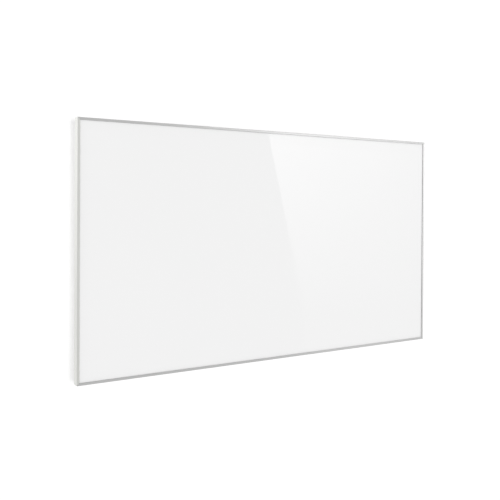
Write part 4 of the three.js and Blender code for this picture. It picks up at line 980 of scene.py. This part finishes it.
def box_base():
    """A tub with a rounded foot and a rounded rim, screw posts and an inlet wall."""
    levels = [
        (0.5, BOX_BACK, 2.6), (0.15, BOX_BACK + 0.15, 2.9), (0, BOX_BACK + 0.5, 3),
        (0, BOX_RIM - 0.25, 3), (0.08, BOX_RIM - 0.07, 2.95), (0.25, BOX_RIM, 2.8),
        (1.75, BOX_RIM, 1.3), (1.92, BOX_RIM - 0.07, 1.1), (2, BOX_RIM - 0.25, 1),
        (2, FLOOR_TOP + 0.1, 1), (2.3, FLOOR_TOP - 0.2, 0.8),
    ]
    tub = shape_from([box_loop(*level) for level in levels])
    post_places = [in_box(name) for name in nodes_named("lid_screw")]
    in_floor = BOX_BACK + 0.9
    added = [rod(x, z, POST_RADIUS, in_floor, POST_TOP) for x, z in post_places]
    (block_left, _, _), (block_right, _, _) = box_of("terminal_block")
    left_rib = block_left - BOX_X - RIB_CLEARANCE - RIB_THICK
    right_rib = block_right - BOX_X + RIB_CLEARANCE
    foot, top = RIB_Z
    added += [bar((x, in_floor, foot), (x + RIB_THICK, RIB_TOP, top)) for x in (left_rib, right_rib)]
    tub = combined(tub, added, "UNION")
    cutters = [rod(x, z, POST_HOLE, BOX_BACK + 2.8, 0, 24) for x, z in post_places]
    for name, radius in FLOOR_HOLES.items():
        cutters.append(rod(*in_box(name), radius, CUT_FROM, BOX_BACK + 3, 32))
    inlet = rod(0, 0, INLET_HOLE, -4, 4, 48)
    wall_z = -BOX_HEIGHT / 2
    cutters.append(moved(inlet, GLAND_X - BOX_X, INLET_Y, wall_z, turn=(90, "X")))
    width, depth = SWITCH_OPENING
    opening = bar((-width / 2, -depth / 2, -3), (width / 2, depth / 2, 3))
    cutters.append(moved(opening, SWITCH_X - BOX_X, INLET_Y, wall_z))
    tub = moved(combined(tub, cutters, "DIFFERENCE"), BOX_X, 0, BOX_Z)
    add_piece("junction_box_base_fine", "box_plastic", tub, instead_of="junction_box_base")


def box_lid():
    """A lid with a soft rim, a shallow raised field and a rib that drops into the tub."""
    (_, end, _), (_, top, _) = box_of("junction_box_lid")
    foot = BOX_RIM + 0.1
    levels = [
        (0.25, foot, 2.8), (0, foot + 0.25, 3), (0, top - 0.7, 3), (0.08, top - 0.42, 2.9),
        (0.3, top - 0.18, 2.7), (0.65, top - 0.1, 2.4), (7.4, top - 0.1, 2), (7.6, top - 0.06, 2),
        (7.8, top - 0.01, 2), (8.1, top, 2),
    ]
    rib = [
        (2.3, end + 2, 0.7), (2.3, end + 0.2, 0.7), (2.5, end, 0.6),
        (3.3, end, 0.5), (3.5, end + 0.2, 0.5), (3.5, end + 2, 0.5),
    ]
    lid = shape_from([box_loop(*level) for level in levels])
    lid = combined(lid, [shape_from([box_loop(*level) for level in rib], closed=True)], "UNION")
    holes = [rod(*in_box(name), POST_HOLE, -9, 0, 32) for name in nodes_named("lid_screw")]
    lid = moved(combined(lid, holes, "DIFFERENCE"), BOX_X, 0, BOX_Z)
    add_piece("junction_box_lid_fine", "box_plastic", lid, instead_of="junction_box_lid")


HEX_FLATS = 14
HEX_CORNER = round(HEX_FLATS / math.sqrt(3), 3)
THREAD_RADIUS = 5.9
THREAD_ROOT = 5.55
THREAD_PITCH = 1.1
THREAD_TURNS = 7
CAP_BORE = 3.6
SEAL_BORE = 3.2
THREAD_BORE = 4
CAP_INSIDE = 6.2


def heights_of(node):
    """A node's foot and top over the foot of the wiring box."""
    return [round(corner[2] - BOX_FOOT_Z, 2) for corner in box_of(node)]


def cap_profile():
    foot, top = heights_of("gland_cap")
    return [
        (HEX_CORNER - 0.5, top), (HEX_CORNER, top - 0.3), (HEX_CORNER, foot + 6.7), (7.75, foot + 5.3),
        (7.3, foot + 3.7), (6.5, foot + 1.9), (5.4, foot + 0.5), (4.6, foot), (3.9, foot),
        (CAP_BORE, foot + 0.3), (CAP_BORE, foot + 3.7), (CAP_INSIDE, foot + 3.7), (CAP_INSIDE, top),
    ]


def body_profile():
    foot, top = heights_of("gland_body")
    collar_foot, collar_top = -4.3, -0.3
    thread = []
    for turn in range(THREAD_TURNS):
        along = 0.4 + turn * THREAD_PITCH
        thread += [(THREAD_RADIUS, along), (THREAD_ROOT, along + THREAD_PITCH / 2)]
    return [
        (4.9, foot), (5.6, foot), (THREAD_RADIUS, foot + 0.3), (THREAD_RADIUS, collar_foot),
        (HEX_CORNER - 0.5, collar_foot), (HEX_CORNER, collar_foot + 0.3), (HEX_CORNER, collar_top - 0.3),
        (HEX_CORNER - 0.5, collar_top), (THREAD_RADIUS, collar_top), *thread, (5.5, top), (THREAD_BORE, top),
        (THREAD_BORE, foot + 4), (4.9, foot + 4),
    ]


def nut_profile():
    foot, top = heights_of("gland_locknut")
    return [
        (CAP_INSIDE, foot), (HEX_CORNER - 0.4, foot), (HEX_CORNER, foot + 0.3),
        (HEX_CORNER, top - 0.4), (HEX_CORNER - 0.5, top), (CAP_INSIDE, top),
    ]


def seal_profile():
    foot, top = heights_of("gland_seal")
    lip = foot + 1.7
    return [(SEAL_BORE, foot), (5.6, foot), (5.6, lip), (4.6, lip), (4.6, top), (SEAL_BORE, top)]


def add_gland():
    """Each part is hollow for the cable. Its profile is radius and height over the box's foot."""
    parts = {
        "gland_cap": ("gland_plastic", cap_profile(), HEX_FLATS, 0.3),
        "gland_body": ("gland_plastic", body_profile(), HEX_FLATS, 0.15),
        "gland_locknut": ("gland_plastic", nut_profile(), HEX_FLATS, 0.2),
        "gland_seal": ("black_rubber", seal_profile(), None, 0.4),
    }
    for name, (slot, profile, flats, radius) in parts.items():
        soft = [tuple(point) for point in rounded(profile, radius, 3, closed=True)]
        shape = turned(soft, 96, flats, closed=True)
        moved(shape, GLAND_X, INLET_Y, BOX_FOOT_Z, turn=(90, "X"))
        add_piece(name + "_fine", slot, shape, instead_of=name)


# The switch hangs from the box's foot. Widths, depths and corner radii of its housing:
HOUSING_BODY = (13, 8.6, 0.5)
HOUSING_BEZEL = (15, 10.4, 1)
HOUSING_WELL = (11.4, 6.8, 0.5)
PIVOT_RISE = 1.8
PIVOT_HOLE = 1.3
BLADES_X = (-3.5, 3.5)
BLADE_HALF = (1.5, 0.4)
BLADE_Z = (10.5, 16)
ROCKER_TILT = -8
ROCKER_HALF = 4.9
ROCKER_VALLEY = -3.7
ROCKER_RISE = 0.689
ROCKER_HALF_DEPTH = 3.1
PIN_RADIUS = 1
PIN_END = 3.9
MARK_X = 2.8
MARK_Y = (-0.05, 0.03)
RING_RADII = (0.55, 0.85)
LINE_SIZE = (0.34, 1.8)


def place_at_switch(shape):
    return moved(shape, SWITCH_X, INLET_Y, BOX_FOOT_Z)


def switch_housing():
    levels = [
        (*HOUSING_BODY, 11), (*HOUSING_BODY, -0.1), (14.7, 10.1, 0.9, -0.1), (*HOUSING_BEZEL, -0.3),
        (*HOUSING_BEZEL, -1.2), (14.8, 10.2, 0.95, -1.55), (14.4, 9.8, 0.9, -1.7),
        (12.1, 7.5, 0.7, -1.7), (11.6, 7.0, 0.6, -1.6), (*HOUSING_WELL, -1.3), (*HOUSING_WELL, 8),
    ]
    loops = []
    for width, depth, radius, up in levels:
        loops.append([(p.x, p.y, up) for p in rectangle(width, depth, radius)])
    pivot = rod(0, PIVOT_RISE, PIVOT_HOLE, -6, 6, 32)
    housing = place_at_switch(combined(shape_from(loops), [pivot], "DIFFERENCE"))
    add_piece("switch_housing_fine", "switch_plastic", housing, instead_of="switch_housing")
    half_width, half_depth = BLADE_HALF
    foot, top = BLADE_Z
    for number, x in enumerate(BLADES_X):
        blade = bar((x - half_width, -half_depth, foot), (x + half_width, half_depth, top))
        add_piece(f"switch_blade_{number + 1}", "brass", place_at_switch(blade), softened=0.15)


def rocker():
    """Two slopes that meet in a shallow valley, with the marks of its two positions."""
    end = ROCKER_VALLEY - ROCKER_RISE
    corners = [
        (0, ROCKER_VALLEY), (ROCKER_HALF, end), (ROCKER_HALF, -0.6), (2.2, 4.5),
        (-2.2, 4.5), (-ROCKER_HALF, -0.6), (-ROCKER_HALF, end),
    ]
    section = rounded(corners, [8, 0.45, 0.6, 0.5, 0.5, 0.6, 0.45], 6, closed=True)
    pins = rod(0, 0, PIN_RADIUS, -PIN_END, PIN_END, 32)
    whole = gathered([slab(section, -ROCKER_HALF_DEPTH, ROCKER_HALF_DEPTH, 0.3), pins])
    place_on_rocker(whole, "switch_rocker_fine", "rocker_plastic", "switch_rocker")
    low, high = MARK_Y
    inner, outer = RING_RADII
    ring = turned([(inner, low), (outer, low), (outer, high), (inner, high)], 40, closed=True)
    line = slab(round_ended(*LINE_SIZE, 4), low, high)
    slope = math.degrees(math.atan2(ROCKER_RISE, ROCKER_HALF))
    mark_z = ROCKER_VALLEY - MARK_X * round(ROCKER_RISE / ROCKER_HALF, 4)
    for name, mark, side in (("mark_off", ring, 1), ("mark_on", line, -1)):
        flat = moved(mark, turn=(90, "X"))
        tilted = moved(flat, side * MARK_X, 0, mark_z, turn=(side * slope, "Y"))
        place_on_rocker(tilted, name, "box_plastic")


def place_on_rocker(shape, name, slot, instead_of=None):
    moved(shape, SWITCH_X, INLET_Y, BOX_FOOT_Z + PIVOT_RISE, turn=(ROCKER_TILT, "Y"))
    add_piece(name, slot, shape, "switch_rocker", instead_of)


CLAMP_SCREWS_Z = (-5, 5)
CLAMP_SCREW_PROFILE = ((0, 1.6), (1.5, 1.6), (1.5, -0.3), (0, -0.3))
CLAMP_SCREW_SLOT = ((-2, 0.8, -0.25), (2, 3, 0.25))


def clamp_screws():
    """A slotted screw stands in each well of the terminal block, on its brass clamp."""
    places = [(clamp, side) for clamp in nodes_named("terminal_clamp") for side in CLAMP_SCREWS_Z]
    for number, (clamp, side) in enumerate(places, start=1):
        profile = rounded(CLAMP_SCREW_PROFILE, 0.25, 3)
        screw = turned([tuple(point) for point in profile], 40)
        screw = combined(screw, [bar(*CLAMP_SCREW_SLOT)], "DIFFERENCE")
        x, z = place_of(clamp)
        top = box_of(clamp)[1][1]
        moved(screw, x, top, z + side, turn=(number * 53 % 180, "Y"))
        add_piece(f"clamp_screw_{number}", "zinc_screw", screw)


def add_back_pieces():
    back_plate()
    clamp_screws()
    add_screws()
    wall_rail()
    for side in ("left", "right"):
        hanger("hanger_" + side)
    for side in ("left", "right"):
        wall_buffer("wall_buffer_" + side)
    box_base()
    box_lid()
    add_gland()
    switch_housing()
    rocker()


add_back_pieces()

# ---------------------------------------------------------------- finish of the CAD pieces

# How far the edges of each kept piece are rounded
EDGE_SOFTNESS = {
    "frame": 0.15, "front_glass": 0.1, "corner_key": 0.25, "terminal_block": 0.3, "terminal_clamp": 0.2,
    "wire_grommet": 0.3, "thermal_cutout": 0.2, "insulation_board": 0.3, "lead": 0.28,
}
LEAST_SOFTNESS = 0.03
NODE_EDGE_ANGLE = 35
FLAT_BELOW = math.radians(0.5)
SAME_PLACE = 1e-6


def clean_up_nodes():
    """Welds the split corners of an imported mesh and drops its stored shading."""
    group = bpy.data.node_groups.new("clean_up", "GeometryNodeTree")
    group.interface.new_socket("Geometry", in_out="INPUT", socket_type="NodeSocketGeometry")
    group.interface.new_socket("Geometry", in_out="OUTPUT", socket_type="NodeSocketGeometry")
    last = group.nodes.new("NodeGroupInput").outputs[0]
    for attribute in ("custom_normal", "sharp_edge", "sharp_face"):
        node = group.nodes.new("GeometryNodeRemoveAttribute")
        node.inputs["Name"].default_value = attribute
        group.links.new(last, node.inputs["Geometry"])
        last = node.outputs["Geometry"]
    merge = group.nodes.new("GeometryNodeMergeByDistance")
    merge.inputs["Distance"].default_value = SAME_PLACE
    group.links.new(last, merge.inputs["Geometry"])
    smooth = group.nodes.new("GeometryNodeSetShadeSmooth")
    group.links.new(merge.outputs["Geometry"], smooth.inputs["Geometry"])
    group.links.new(smooth.outputs[0], group.nodes.new("NodeGroupOutput").inputs[0])
    return group


def finish_nodes():
    group = clean_up_nodes()
    for name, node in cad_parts.items():
        if node.hide_render:
            continue
        node.modifiers.new("clean_up", "NODES").node_group = group
        flatten = node.modifiers.new("flat_faces", "DECIMATE")
        flatten.decimate_type = "DISSOLVE"
        flatten.angle_limit = FLAT_BELOW
        widths = [width for start, width in EDGE_SOFTNESS.items() if name.startswith(start)]
        soften(node, widths[0] if widths else LEAST_SOFTNESS, NODE_EDGE_ANGLE)


finish_nodes()
